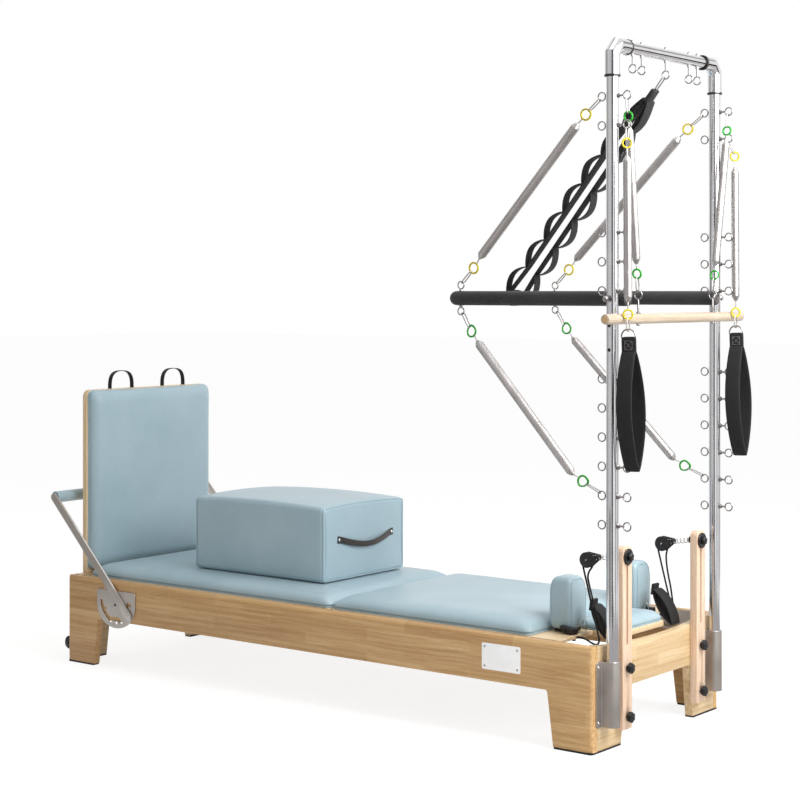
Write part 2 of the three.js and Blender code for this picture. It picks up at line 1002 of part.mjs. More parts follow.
// A slotted post on the tower end, with the two knobs that clamp it.
function riserPost(side) {
  const { y, width, thickness, bottom, top, topRound, slotBottom, slotTop, slotWidth } = riser;
  const back = halfLength + fit;
  const outline = rounded([
    [-width / 2, bottom],
    [width / 2, bottom],
    [width / 2, top, topRound],
    [-width / 2, top, topRound],
  ]);
  outline.holes.push(
    rounded(
      [
        [-slotWidth / 2, slotBottom],
        [slotWidth / 2, slotBottom],
        [slotWidth / 2, slotTop],
        [-slotWidth / 2, slotTop],
      ],
      THREE.Path,
    ),
  );
  const post = slabYZ(outline, [back, back + thickness]).translate(0, side * y, 0);
  const face = back + thickness;
  const knobs = [riser.knobLow, riser.knobHigh].flatMap((z) => [
    rodX(riser.stemRadius, [face - 1, face + riser.stemLength + 1], side * y, z),
    rodX(riser.knobRadius, [face + riser.stemLength, face + riser.stemLength + riser.knobLength], side * y, z, 10),
  ]);
  return join(post, ...knobs);
}

// Riser pulleys

// The points of a coil spring between two points, straight for one wire's width at each end.
function coilPoints(from, to) {
  const axis = new THREE.Vector3().subVectors(to, from);
  const along = axis.clone().normalize();
  const across = new THREE.Vector3(0, 1, 0);
  const upwards = new THREE.Vector3().crossVectors(along, across);
  const steps = pulley.coilTurns * 8;
  return Array.from({ length: steps + 1 }, (_, i) => {
    const turn = (i * 2 * Math.PI) / 8;
    return from
      .clone()
      .addScaledVector(axis, i / steps)
      .addScaledVector(across, pulley.coilRadius * Math.cos(turn))
      .addScaledVector(upwards, pulley.coilRadius * Math.sin(turn));
  });
}

// The least gap between a coil and itself, measured on points that lie half a turn or more apart.
function leastGap(points, wire) {
  let least = Infinity;
  for (let i = 0; i < points.length; i++) {
    for (let j = i + 4; j < points.length; j++) least = Math.min(least, points[i].distanceTo(points[j]));
  }
  return least - 2 * wire;
}

function coilSpring(from, to) {
  const points = coilPoints(from, to);
  console.log(`riser spring: least gap between its turns ${leastGap(points, pulley.coilWire).toFixed(2)} mm`);
  return tube(points.map((point) => point.toArray()), pulley.coilWire, 5);
}

// The teardrop cheeks of a pulley block, with the axle that the wheel turns on.
function pulleyBlock(y) {
  const { wheelX, wheelZ, noseX, noseZ, noseRadius, cheekRadius, cheekThickness, wheelWidth } = pulley;
  const gap = wheelWidth / 2 + fit;
  const tilt = Math.atan2(noseZ - wheelZ, noseX - wheelX);
  const arc = (x, z, radius, start, end, steps) =>
    Array.from({ length: steps + 1 }, (_, i) => {
      const turn = start + ((end - start) * i) / steps + tilt;
      return [x + radius * Math.cos(turn), z + radius * Math.sin(turn)];
    });
  const outline = rounded([
    ...arc(wheelX, wheelZ, cheekRadius, Math.PI / 3, (Math.PI * 5) / 3, 10),
    ...arc(noseX - noseRadius, noseZ, noseRadius, -Math.PI / 3, Math.PI / 3, 3),
  ]);
  const cheek = (from) => slabXZ(outline, [from, from + cheekThickness]);
  const noseEnd = [noseX - noseRadius, noseX + 1];
  return [
    cheek(y - gap - cheekThickness),
    cheek(y + gap),
    rodY(pulley.axleRadius, wheelX, [y - gap - 1, y + gap + 1], wheelZ),
    block(noseEnd, [y - gap - 1, y + gap + 1], [noseZ - noseRadius, noseZ + noseRadius]),
  ];
}

function pulleyCarrier(side) {
  const y = side * riser.y;
  const { boltZ, boltRadius, flangeRadius, flangeThickness, hubRadius, hubLength, seatRadius, seatLength } = pulley;
  const inside = halfLength;
  const outside = halfLength + 2 * fit + riser.thickness;
  const seatEnd = inside - seatLength;
  const from = new THREE.Vector3(seatEnd + pulley.coilWire, y, boltZ - 2);
  const to = new THREE.Vector3(pulley.noseX, y, pulley.noseZ);
  return join(
    rodX(boltRadius, [inside - 1, outside + 1], y, boltZ),
    rodX(flangeRadius, [outside, outside + flangeThickness], y, boltZ, 12),
    rodX(hubRadius, [outside + flangeThickness - 1, outside + flangeThickness + hubLength], y, boltZ, 10),
    rodX(seatRadius, [seatEnd, inside], y, boltZ, 10),
    coilSpring(from, to),
    ...pulleyBlock(y),
  );
}

function sheave(side) {
  const { wheelRadius, grooveRadius, wheelWidth, axleRadius, wheelX, wheelZ } = pulley;
  const half = wheelWidth / 2;
  const lip = half / 4;
  const profile = [
    [axleRadius + fit, -half],
    [wheelRadius, -half],
    [wheelRadius, lip - half],
    [grooveRadius, -lip],
    [grooveRadius, lip],
    [wheelRadius, half - lip],
    [wheelRadius, half],
    [axleRadius + fit, half],
    [axleRadius + fit, -half],
  ];
  return turned(profile, 10).rotateX(Math.PI / 2).translate(wheelX, side * riser.y, wheelZ);
}

// The rope's route on the near side: from the carriage, up over the wheel and down to the strap loop.
const ropeRoute = [
  [1005.6, -250, 316],
  [1022, -250, 317],
  [1040, -248, 312],
  [1056, -244, 303],
  [1070, -239, 299],
  [1077, -235, 312],
  [1066, -233, 352],
  [1049, -232, 415],
  [1031, -232, 482],
  [1014, -232, 548],
  [1015, -232, 565],
  [1025, -232, 575],
  [1038, -232, 576.5],
  [1050, -232, 570],
  [1055, -232, 556],
  [1055, -232, 541],
  [1064, -232, 480],
  [1075, -230, 415],
  [1084, -225, 360],
  [1089, -217.3, 326],
  [1091, -213.1, 314],
];

function pulleyRope(side) {
  return tube(ropeRoute.map(([x, y, z]) => [x + endGrowth, side * (sideGrowth - y), z]), rope.radius, 8);
}

// The middle line of a padded strap loop, as [x, z] pairs.
const strapLoopLine = [
  [1036, 431],
  [1060, 421],
  [1084, 400],
  [1101, 368],
  [1104, 338],
  [1096, 317],
  [1080, 314],
  [1062, 322],
  [1048, 344],
  [1038, 372],
  [1029, 404],
  [1028, 424],
];

function strapLoop(side) {
  const shape = band([...strapLoopLine].reverse(), loop.thickness, true);
  const form = slabXZ(shape, [side * loop.y - loop.width / 2, side * loop.y + loop.width / 2]);
  return form.translate(endGrowth, 0, 0);
}

// Push-through bar

function barRoute(inset) {
  const { pastPivot, outerX, armY, cornerRadius, pivotZ } = bar;
  const end = uprightX + pastPivot - inset;
  const steps = 2;
  const corner = Array.from({ length: steps + 1 }, (_, i) => {
    const turn = (i * Math.PI) / 2 / steps;
    return [
      outerX + cornerRadius * (1 - Math.sin(turn)),
      armY - cornerRadius * (1 - Math.cos(turn)),
      pivotZ,
    ];
  });
  const other = corner.map(([x, y, z]) => [x, -y, z]).reverse();
  return [[end, armY, pivotZ], ...corner, ...other, [end, -armY, pivotZ]];
}

function pushThroughTube() {
  const { armY, pivotZ, eyeX, eyeReach, eyeRing, pinRadius, pinHeadRadius, pinHeadLength, pinNeck } = bar;
  const parts = [tube(barRoute(fit), bar.tubeRadius, 10, bar.tubeBore)];
  for (const side of [-1, 1]) {
    const start = armY;
    const head = tower.halfSpan + tower.tubeRadius + fit + pinNeck;
    const span = (from, to) => (side > 0 ? [from, to] : [-to, -from]);
    parts.push(rodY(pinRadius, uprightX, span(start, head + 1), pivotZ));
    parts.push(rodY(pinHeadRadius, uprightX, span(head, head + pinHeadLength), pivotZ));
    for (const way of [-1, 1]) {
      const ringZ = pivotZ + way * eyeReach;
      const near = pivotZ + way * (bar.tubeBore + 1);
      const far = ringZ - way * (eyeRing - eye.wire);
      parts.push(rodZ(eye.shankRadius, eyeX, side * armY, [Math.min(near, far), Math.max(near, far)], 4));
      parts.push(ring(eyeRing, eye.wire, [eyeX, side * armY, ringZ], "Y", 3, bar.eyeSteps));
    }
  }
  return join(...parts);
}

function pushThroughFoam() {
  const { foamRadius, tubeRadius, armY, pivotZ, eyeX, pinRadius } = bar;
  const sleeve = tube(barRoute(0), foamRadius, 10, tubeRadius + fit);
  const cutters = [-1, 1].flatMap((side) => {
    const reach = [armY, armY + foamRadius + overrun];
    const depth = [pivotZ - foamRadius - overrun, pivotZ + foamRadius + overrun];
    return [
      rodY(boreFor(pinRadius), uprightX, side > 0 ? reach : [-reach[1], -reach[0]], pivotZ),
      rodZ(eye.shankRadius + 2 * fit, eyeX, side * armY, depth, 4),
    ];
  });
  return cut(sleeve, ...cutters);
}

// Tower springs

// Lets a spring hang below the straight line between its ends: by 4 s (1 - s) of the sag at a share s of the way.
function sagged(geometry, from, to, sag) {
  const clipShare = 0.05;
  const span = new THREE.Vector3().subVectors(to, from);
  const position = geometry.getAttribute("position");
  const point = new THREE.Vector3();
  for (let i = 0; i < position.count; i++) {
    point.fromBufferAttribute(position, i);
    const along = point.sub(from).dot(span) / span.lengthSq();
    const share = THREE.MathUtils.clamp((along - clipShare) / (1 - 2 * clipShare), 0, 1);
    position.setZ(i, position.getZ(i) - sag * 4 * share * (1 - share));
  }
  return geometry;
}

// One spring with a coloured ring and a clip at each end, along Z from 0 to its length.
function springForm(length, bodyLength, clipTop, clipBottom, size) {
  const { neckRadius, taper, clipRadius, clipWire, hookWire } = spring;
  const { bodyRadius, ringRadius, ringWire, turnDegrees } = size;
  const turnZ = THREE.MathUtils.degToRad(turnDegrees);
  const middle = (length + clipBottom - clipTop) / 2;
  const low = middle - bodyLength / 2;
  const high = middle + bodyLength / 2;
  const body = turned(
    [
      [0, low],
      [neckRadius, low],
      [bodyRadius, low + taper],
      ...(size.upperSag ? [[bodyRadius, middle]] : []),
      [bodyRadius, high - taper],
      [neckRadius, high],
      [0, high],
    ],
    8,
  );
  const bite = ringWire;
  const lowRing = clipBottom - bite + ringRadius;
  const highRing = length - clipTop + bite - ringRadius;
  const pieces = [
    body,
    ring(ringRadius, ringWire, [0, 0, lowRing], "Y", 3).rotateZ(turnZ),
    ring(ringRadius, ringWire, [0, 0, highRing], "Y", 3).rotateZ(turnZ),
    rodZ(hookWire, 0, 0, [lowRing + ringRadius - ringWire, low + 1], 4),
    rodZ(hookWire, 0, 0, [high - 1, highRing - ringRadius + ringWire], 4),
  ];
  if (clipBottom > 0) pieces.push(link(clipRadius, clipWire, clipBottom));
  if (clipTop > 0) pieces.push(link(clipRadius, clipWire, clipTop).translate(0, 0, length - clipTop));
  return join(...pieces);
}

// Turns a form that runs along Z so that it runs from one point to another, its Y kept level.
function strung(geometry, from, to) {
  const along = new THREE.Vector3().subVectors(to, from).normalize();
  const level = new THREE.Vector3(0, 1, 0);
  const across = level.addScaledVector(along, -along.y).normalize();
  const third = new THREE.Vector3().crossVectors(across, along);
  geometry.applyMatrix4(new THREE.Matrix4().makeBasis(third, across, along));
  return geometry.translate(from.x, from.y, from.z);
}

// How far a ring's wire lies from its centre in one direction in x and z: it is a polygon of straight pieces.
function ringReach(radius, steps, direction) {
  const piece = (2 * Math.PI) / steps;
  const turn = Math.atan2(direction.z, direction.x) + 2 * Math.PI;
  return (radius * Math.cos(piece / 2)) / Math.cos((turn % piece) - piece / 2);
}

// How far the wire of a clip that pulls in one direction lies from the centre of its eye.
function hangDistance(radius, steps, direction, seat) {
  return ringReach(radius, steps, direction) - (eye.wire + spring.clipWire) / 2 - seat;
}

function clippedSpring(start, end, bodyLength, clipLength, size) {
  const direction = new THREE.Vector3().subVectors(end.eye, start.eye).normalize();
  const backwards = direction.clone().negate();
  const startHang = hangDistance(start.radius, start.steps, direction, start.seat);
  const endHang = hangDistance(end.radius, end.steps, backwards, end.seat);
  const from = start.eye.clone().addScaledVector(direction, startHang);
  const to = end.eye.clone().addScaledVector(backwards, endHang);
  const form = springForm(from.distanceTo(to), bodyLength, clipLength, clipLength, size);
  return strung(form, from, to);
}

function eyeAt(x, y, z, seat, radius = eye.ringRadius, steps = eye.steps) {
  return { eye: new THREE.Vector3(x, y, z), seat, radius, steps };
}

// A spring from an upright's back eye to the push-through bar, above it or below it.
function barSpring(side, way) {
  const eyeZ = way > 0 ? topEyeZ : eye.lowRow + eye.spacing;
  const { postSeat, barSeat, armLength, longClip } = spring;
  const start = eyeAt(uprightX - eye.backReach, side * tower.halfSpan, eyeZ, postSeat);
  const ringZ = bar.pivotZ + way * bar.eyeReach;
  const end = eyeAt(bar.eyeX, side * bar.armY, ringZ, barSeat, bar.eyeRing, bar.eyeSteps);
  const sag = way > 0 ? armSpring.upperSag : armSpring.lowerSag;
  return sagged(clippedSpring(start, end, armLength, longClip, armSpring), start.eye, end.eye, sag);
}

function rolldownSpring(side) {
  const { x, z, eyeY, eyeReach, eyeRing } = rolldown;
  const { hangLength, shortClip, topSeat, rolldownSeat } = spring;
  const start = eyeAt(uprightX + eye.frontReach, side * tower.halfSpan, topEyeZ, topSeat);
  const end = eyeAt(uprightX + x, side * eyeY, z + eyeReach, rolldownSeat, eyeRing, bar.eyeSteps);
  return clippedSpring(start, end, hangLength, shortClip, hangSpring);
}

function rolldownBar() {
  const { z, halfLength: half, radius, eyeY, eyeReach, nutReach } = rolldown;
  const x = uprightX + rolldown.x;
  const round = radius / 3;
  const profile = [
    [0, -half],
    [radius - round, -half],
    [radius, round - half],
    [radius, half - round],
    [radius - round, half],
    [0, half],
  ];
  const parts = [turned(profile, 12).rotateX(Math.PI / 2).translate(x, 0, z)];
  for (const side of [-1, 1]) {
    const neckTop = z + eyeReach - rolldown.eyeRing + eye.wire;
    parts.push(rodZ(eye.shankRadius, x, side * eyeY, [z - nutReach, neckTop], 4));
    parts.push(rodZ(eye.nutRadius, x, side * eyeY, [z - nutReach + 2, z - radius + 2], 6));
    parts.push(ring(rolldown.eyeRing, eye.wire, [x, side * eyeY, z + eyeReach], "Y", 3, bar.eyeSteps));
  }
  return join(...parts);
}

// A hand spring: its top clip leans outwards past the roll-down spring, and the rest hangs straight.
function handSpring(side) {
  const { y, springX, springTopX, clipDrop, loopTop, dRingRadius, dRingWire } = hand;
  const wireZ = handEyeZ - eye.ringRadius * Math.cos(Math.PI / eye.steps);
  const wireBottom = new THREE.Vector3(uprightX + eye.frontReach, side * tower.halfSpan, wireZ);
  const clipEnd = new THREE.Vector3(uprightX + springTopX, side * y, wireBottom.z - clipDrop);
  const leaning = new THREE.Vector3().subVectors(clipEnd, wireBottom).normalize();
  const hook = wireBottom.clone().addScaledVector(leaning, -(eye.wire + spring.clipWire) / 2 - spring.leanSeat);
  const clip = link(spring.clipRadius - 1, spring.clipWire, hook.distanceTo(clipEnd));
  const bite = handSpringSize.ringWire;
  const dRingTop = loopTop + 2 * dRingRadius * octagonShare;
  const seat = (dRingWire + spring.clipWire) / 2 + spring.dRingSeat;
  const bottom = new THREE.Vector3(uprightX + springX, side * y, dRingTop - seat);
  const top = new THREE.Vector3(clipEnd.x, clipEnd.y, clipEnd.z + bite);
  const lowClip = spring.shortClip - spring.clipRadius;
  const form = springForm(top.distanceTo(bottom), spring.hangLength + spring.taper, 0, lowClip, handSpringSize);
  return join(strung(clip, hook, clipEnd), strung(form, bottom, top));
}

// The half opening of a hand loop at a share of the way down it.
function loopOpening(share) {
  return hand.halfOpening * Math.sin(Math.PI * share) ** 0.8;
}

function handLoop(side) {
  const { y, springX, loopTop, tabBottom, loopBottom, webWidth, webThickness, tabThickness } = hand;
  const steps = 9;
  const sideLine = Array.from({ length: steps + 1 }, (_, i) => {
    const share = i / steps;
    return [loopOpening(share), tabBottom + (loopBottom - tabBottom) * share];
  });
  const otherLine = sideLine.slice(1, -1).map(([across, z]) => [-across, z]).reverse();
  const middleLine = [...sideLine, ...otherLine];
  const loopForm = slabYZ(band(middleLine.reverse(), webThickness, true), [-webWidth / 2, webWidth / 2]);
  const tabHalf = tabThickness / 2;
  const tab = block([-webWidth / 2, webWidth / 2], [-tabHalf, tabHalf], [tabBottom - webThickness, loopTop + 1]);
  const { dRingRadius, dRingWire, dRingStraight } = hand;
  const ringLength = dRingStraight + 2 * dRingRadius * octagonShare;
  const dRing = link(dRingRadius, dRingWire, ringLength)
    .translate(0, 0, -ringLength / 2)
    .applyMatrix4(basis([0, 1, 0], [0, 0, 1], [1, 0, 0]))
    .translate(0, 0, loopTop + dRingRadius * octagonShare);
  const whole = join(loopForm, tab, dRing);
  const lean = THREE.MathUtils.degToRad(hand.leanDegrees);
  whole.translate(0, 0, -loopTop).rotateY(-lean).translate(uprightX + springX + 2, side * y, loopTop);
  return whole;
}

// Safety strap

// How far a leg stands off the strap's middle line: it spreads below the tab, and again round the bar.
function legOffsetAt(share) {
  const { barOffset, legOffset, topOffset, waves } = strap;
  const spreadShare = 0.25;
  const roundBar = Math.max(0, 1 - (1 - share) * waves);
  return topOffset + (legOffset - topOffset) * Math.min(1, share / spreadShare) + (barOffset - legOffset) * roundBar;
}

// One leg of the strap in its own plane: a straight web with looser loops stitched along its outside.
function strapLeg(top, bottom) {
  const { barOffset, waveHeight, waves, webThickness } = strap;
  const offsetAt = legOffsetAt;
  const steps = 3;
  const straight = [];
  const outer = [];
  const holes = [];
  for (let wave = 0; wave < waves; wave++) {
    const hole = [];
    for (let step = 0; step < steps; step++) {
      const share = (wave + step / steps) / waves;
      const along = top + (bottom - top) * share;
      const bulge = waveHeight * Math.sin((Math.PI * step) / steps);
      if (step === 0) straight.push([offsetAt(share) - webThickness / 2, along]);
      outer.push([offsetAt(share) + webThickness * 1.5 + bulge, along]);
      if (step > 0) hole.push([offsetAt(share) + webThickness / 2 + bulge, along]);
    }
    const start = (wave + 0.5 / steps) / waves;
    const end = (wave + 1 - 0.5 / steps) / waves;
    const inner = (share) => [offsetAt(share) + webThickness / 2, top + (bottom - top) * share];
    holes.push([inner(start), ...hole, inner(end)]);
  }
  straight.push([barOffset - webThickness / 2, bottom]);
  outer.push([barOffset + webThickness * 1.5, bottom]);
  const toVectors = (pairs) => pairs.map(([x, y]) => new THREE.Vector2(x, y));
  const shape = new THREE.Shape(toVectors([...straight, ...outer.reverse()]));
  holes.forEach((hole) => shape.holes.push(new THREE.Path(toVectors(hole))));
  return extruded(shape, strap.webWidth).translate(0, 0, -strap.webWidth / 2);
}

function safetyStrap() {
  const eyeCentre = new THREE.Vector3(uprightX, 0, tower.crossbarZ - crossbarEye.drop);
  const barCentre = new THREE.Vector3(bar.outerX, strap.y, bar.pivotZ);
  const along = new THREE.Vector3().subVectors(barCentre, eyeCentre).normalize();
  const hook = eyeCentre.clone().addScaledVector(along, hangDistance(eye.ringRadius, bar.eyeSteps, along, spring.strapSeat));
  const length = hook.distanceTo(barCentre);
  const across = new THREE.Vector3(0, 1, 0).addScaledVector(along, -along.y).normalize();
  const third = new THREE.Vector3().crossVectors(across, along);
  const place = new THREE.Matrix4().makeBasis(third, along, across.clone().negate()).setPosition(hook);
  const clip = link(spring.clipRadius, spring.clipWire, strap.clip);
  clip.applyMatrix4(new THREE.Matrix4().makeBasis(third, across, along).setPosition(hook));
  const tabStart = strap.clip - 2 * spring.clipWire;
  const tabEnd = tabStart + strap.tabLength;
  const half = strap.webWidth / 2;
  const tab = block([-strap.tabThickness / 2 - 3, strap.tabThickness / 2 + 3], [tabStart, tabEnd], [-half, half]);
  const leg = strapLeg(tabEnd - overrun, length);
  const legs = [tab, leg, leg.clone().scale(-1, 1, 1)].map((piece) => piece.applyMatrix4(place));
  const { wrapRadius, wrapWall, wrapLength } = strap;
  const wrapProfile = [
    [wrapRadius, -wrapLength / 2],
    [wrapRadius + wrapWall, -wrapLength / 2],
    [wrapRadius + wrapWall, wrapLength / 2],
    [wrapRadius, wrapLength / 2],
    [wrapRadius, -wrapLength / 2],
  ];
  const wrap = turned(wrapProfile, 12).rotateX(Math.PI / 2).translate(bar.outerX, strap.y, bar.pivotZ);
  return cut(join(clip, ...legs, wrap), rodY(wrapRadius, bar.outerX, [strap.y - wrapLength, strap.y + wrapLength], bar.pivotZ, 12));
}

// Carriage

// The deck, notched at its tower end for the headrest, with ears for the axles below it.
function carriageBoard() {
  const { start, deckEnd, notchStart, notchHalfWidth, halfWidth: half, boardTop, cornerSmall, cornerLarge } = carriage;
  const { earLength, earThickness, earDepth, earY, welded } = carriage;
  const outline = rounded([
    [start, -half, cornerSmall],
    [deckEnd, -half, cornerLarge],
    [deckEnd, -notchHalfWidth, cornerSmall],
    [notchStart, -notchHalfWidth],
    [notchStart, notchHalfWidth],
    [deckEnd, notchHalfWidth, cornerSmall],
    [deckEnd, half, cornerLarge],
    [start, half, cornerSmall],
  ]);
  const parts = [slabXY(outline, [boardUnderside, boardTop])];
  const axleZ = track.top + wheel.radius;
  const cutters = [];
  for (const side of [-1, 1]) {
    for (const x of [wheel.frontX, wheel.rearX]) {
      const y = side * earY;
      const edges = [y - earThickness / 2, y + earThickness / 2];
      const ear = [x - earLength / 2, x + earLength / 2];
      parts.push(block(ear, edges, [boardUnderside - earDepth, boardUnderside + welded]));
      cutters.push(rodY(boreFor(wheel.axleRadius), x, [y - earThickness, y + earThickness], axleZ));
    }
    for (const way of [-1, 1]) {
      const x = rest.x + (way * rest.pegSpacing) / 2;
      cutters.push(rodZ(boreFor(rest.pegRadius), x, side * rest.y, [boardUnderside - overrun, boardTop + overrun]));
    }
  }
  const pinReach = notchHalfWidth + overrun;
  const pin = rodY(head.pinRadius, head.pinX, [-pinReach, pinReach], head.pinZ, 8);
  return join(cut(join(...parts), ...cutters), pin);
}

function cushionOn([x0, x1], halfY, [z0, z1], { crown, round, corner, drawIn }) {
  const form = cushion({ length: x1 - x0, width: 2 * halfY, height: z1 - z0, crown, round, corner, drawIn });
  return form.translate((x0 + x1) / 2, 0, z0);
}

const seatForm = { crown: 10, round: 11, corner: 22, drawIn: 3 };

function carriageCushion() {
  const { start, cushionEnd, halfWidth: half, boardTop } = carriage;
  return cushionOn([start + 2, cushionEnd], half, [boardTop + fit, cushionTop], seatForm);
}

// Two wheels on one axle, running on the tracks.
function wheelset(x) {
  const z = track.top + fit + wheel.radius;
  const outer = wheel.y + wheel.width / 2;
  const inner = wheel.y - wheel.width / 2;
  return join(
    rodY(wheel.axleRadius, x, [-outer, outer], z),
    rodY(wheel.radius, x, [inner, outer], z, 12),
    rodY(wheel.radius, x, [-outer, -inner], z, 12),
  );
}

// The carriage springs, unhooked and parked under the deck on their carrier bar.
function carriageSprings() {
  const top = boardUnderside - fit;
  const { start, barWidth, barDepth, springEnd, radius, welded } = parked;
  const barEnd = start + barWidth;
  const reach = ((springBar.hookCount - 1) / 2) * springBar.hookSpacing;
  const carrier = block([start, barEnd], [-reach - 2 * radius, reach + 2 * radius], [top - barDepth, top]);
  const rods = Array.from({ length: springBar.hookCount }, (_, i) => {
    const y = i * springBar.hookSpacing - reach;
    return rodX(radius, [barEnd - welded, springEnd], y, top - radius - welded, 6);
  });
  return join(carrier, ...rods);
}

function shoulderRest(side) {
  const { x, y, length, width, bottom, top, pegRadius, pegSpacing, pegLength, baseLength, baseWidth } = rest;
  const pad = cushion({ length, width, height: top - bottom, crown: 14, round: 10, corner: 18, drawIn: 1.5 });
  pad.translate(x, side * y, bottom);
  const seat = carriage.boardTop + fit;
  const base = block([x - baseLength / 2, x + baseLength / 2], [side * y - baseWidth / 2, side * y + baseWidth / 2], [seat, bottom + 2]);
  const pegs = [-1, 1].map((way) =>
    rodZ(pegRadius, x + (way * pegSpacing) / 2, side * y, [seat - pegLength, seat + 1]),
  );
  return join(pad, base, ...pegs);
}

function headrestBoard() {
  const { start, end, halfWidth: half, boardBottom, boardThickness, pinX, pinZ, pinRadius } = head;
  const top = boardBottom + boardThickness;
  const board = slabXY(rectangle([start, end], [-half, half], 14), [boardBottom, top]);
  return cut(board, rodY(boreFor(pinRadius), pinX, [-half - overrun, half + overrun], pinZ));
}

function headrestCushion() {
  const { cushionStart, end, halfWidth: half, boardBottom, boardThickness, cushionTop: top } = head;
  const low = boardBottom + boardThickness + fit;
  return cushionOn([cushionStart, end - 1], half - 1, [low, top], { crown: 9, round: 9, corner: 26, drawIn: 2 });
}

// Mat, box and jump board

// The mat's board with the two runners that stand on the wheel tracks.
function matBoard() {
  const { start, end, corner, welded, runnerThickness, runnerY, runnerFromStart, runnerFromEnd } = mat;
  const half = carriage.halfWidth;
  const board = slabXY(rectangle([start + welded, end], [-half, half], corner), [boardUnderside, carriage.boardTop]);
  const runners = [-1, 1].map((side) => {
    const edges = [side * runnerY - runnerThickness / 2, side * runnerY + runnerThickness / 2];
    return block([start + runnerFromStart, end - runnerFromEnd], edges, [track.top + fit, boardUnderside + welded]);
  });
  return join(board, ...runners);
}

function matCushion() {
  return cushionOn([mat.start, mat.end], carriage.halfWidth, [carriage.boardTop + fit, cushionTop], seatForm);
}

function sittingBox() {
  const { centreX, centreY, length, width, height, round } = box;
  const form = cushion({ length, width, height: height - fit, crown: 3, round: round / 2, corner: round, drawIn: 2.5 });
  return form.translate(centreX, centreY, cushionTop + fit);
}

// A leather handle on one end of the box, riveted at both ends and drooping in the middle.
function boxHandle(end) {
  const { centreX, centreY, length, handleHalfSpan, handleWidth, handleThickness, handleBulge, handleDroop } = box;
  const face = length / 2 - box.handleInset + fit + handleThickness / 2;
  const steps = 8;
  const line = [[face, -handleHalfSpan - box.handleEnd / 2]];
  for (let i = 0; i <= steps; i++) {
    const across = -handleHalfSpan + (2 * handleHalfSpan * i) / steps;
    line.push([face + handleBulge * Math.sin((Math.PI * i) / steps), across]);
  }
  line.push([face, handleHalfSpan + box.handleEnd / 2]);
  const form = slabXY(band(line, handleThickness), [-handleWidth / 2, handleWidth / 2]);
  const places = form.attributes.position;
  for (let i = 0; i < places.count; i++) {
    const share = Math.min(Math.abs(places.getY(i)) / handleHalfSpan, 1);
    places.setZ(i, places.getZ(i) - handleDroop * Math.cos((Math.PI / 2) * share));
  }
  if (end < 0) form.scale(-1, 1, 1);
  return form.translate(centreX, centreY, box.handleZ);
}

function jumpBoard() {
  const { boardThickness, halfWidth: half, top, corner, tongueY, tongueWidth, tongueThickness, tongueDepth } = jump;
  const { loopY, loopHalfWidth, loopHeight, loopWeb, loopThickness } = jump;
  const back = -halfLength;
  const bottom = frame.top + fit;
  const outline = rounded([
    [-half, bottom],
    [half, bottom],
    [half, top, corner],
    [-half, top, corner],
  ]);
  const parts = [slabYZ(outline, [back, back + boardThickness])];
  for (const side of [-1, 1]) {
    const front = back + frame.board + fit;
    const edges = [side * tongueY - tongueWidth / 2, side * tongueY + tongueWidth / 2];
    const tongue = [front, front + tongueThickness];
    parts.push(block(tongue, edges, [bottom - tongueDepth, bottom + 8]));
    parts.push(block([back + boardThickness - 1, tongue[1]], edges, [bottom, bottom + 8]));
    const steps = 6;
    const line = [];
    for (let i = 0; i <= steps; i++) {
      const turn = (Math.PI * i) / steps;
      const rise = loopHeight * Math.sin(turn) ** 0.75;
      line.push([side * loopY - loopHalfWidth * Math.cos(turn), top - 2 + rise]);
    }
    const middle = back + boardThickness / 2;
    const web = Math.min(loopWeb, boardThickness - 2) / 2;
    parts.push(slabYZ(band(line, loopThickness), [middle - web, middle + web]));
  }
  return join(...parts);
}

function jumpPad() {
  const { boardThickness, halfWidth: half, top, padThickness, padInset, padBottom } = jump;
  const low = padBottom;
  const high = top - padInset;
  const form = cushion({
    length: high - low,
    width: 2 * (half - padInset),
    height: padThickness,
    crown: 10,
    round: 16,
    corner: jump.corner,
    drawIn: 3,
  });
  return form.rotateY(Math.PI / 2).translate(boardThickness - halfLength + fit, 0, (low + high) / 2);
}

// Footbar

const armInner = halfWidth + 2 * fit + footbar.plateThickness;

// The shield-shaped plate on the side of the frame, with its locking slot and the footbar's pin.
function footbarPlate(side) {
  const { plateStart, plateEnd, plateTop, plateBottom, plateThickness, pivotX, pivotZ, slotRadius, slotWidth } = footbar;
  const middle = (plateStart + plateEnd) / 2;
  const half = (plateEnd - plateStart) / 2;
  const shoulder = plateBottom + half * 0.85;
  const outline = [
    [plateEnd, plateTop],
    [plateStart, plateTop],
    [plateStart, shoulder],
  ];
  const steps = 8;
  for (let i = 1; i < steps; i++) {
    const turn = Math.PI * (1 + i / steps);
    outline.push([middle + half * Math.cos(turn), shoulder + (shoulder - plateBottom) * Math.sin(turn)]);
  }
  outline.push([plateEnd, shoulder]);
  const shape = rounded(outline.map(([x, z], i) => [x, z, i < 2 ? slotWidth : 0]));
  const start = halfWidth + fit;
  const slot = [];
  const turns = 6;
  for (let i = 0; i <= turns; i++) {
    const turn = Math.PI * (0.97 + (0.56 * i) / turns);
    slot.push([pivotX + slotRadius * Math.cos(turn), pivotZ + slotRadius * Math.sin(turn)]);
  }
  const slotCutter = slabXZ(band(slot, slotWidth), [start - overrun, start + plateThickness + overrun]);
  const plate = cut(slabXZ(shape, [start, start + plateThickness]), slotCutter);
  const armOuter = armInner + footbar.armThickness + fit;
  const pin = rodY(footbar.pinRadius, pivotX, [innerY + overrun, armOuter + 1], pivotZ);
  const pinHead = rodY(footbar.pinHead, pivotX, [armOuter, armOuter + 3], pivotZ, 10);
  const whole = join(plate, pin, pinHead);
  return side > 0 ? whole : mirrored(whole);
}

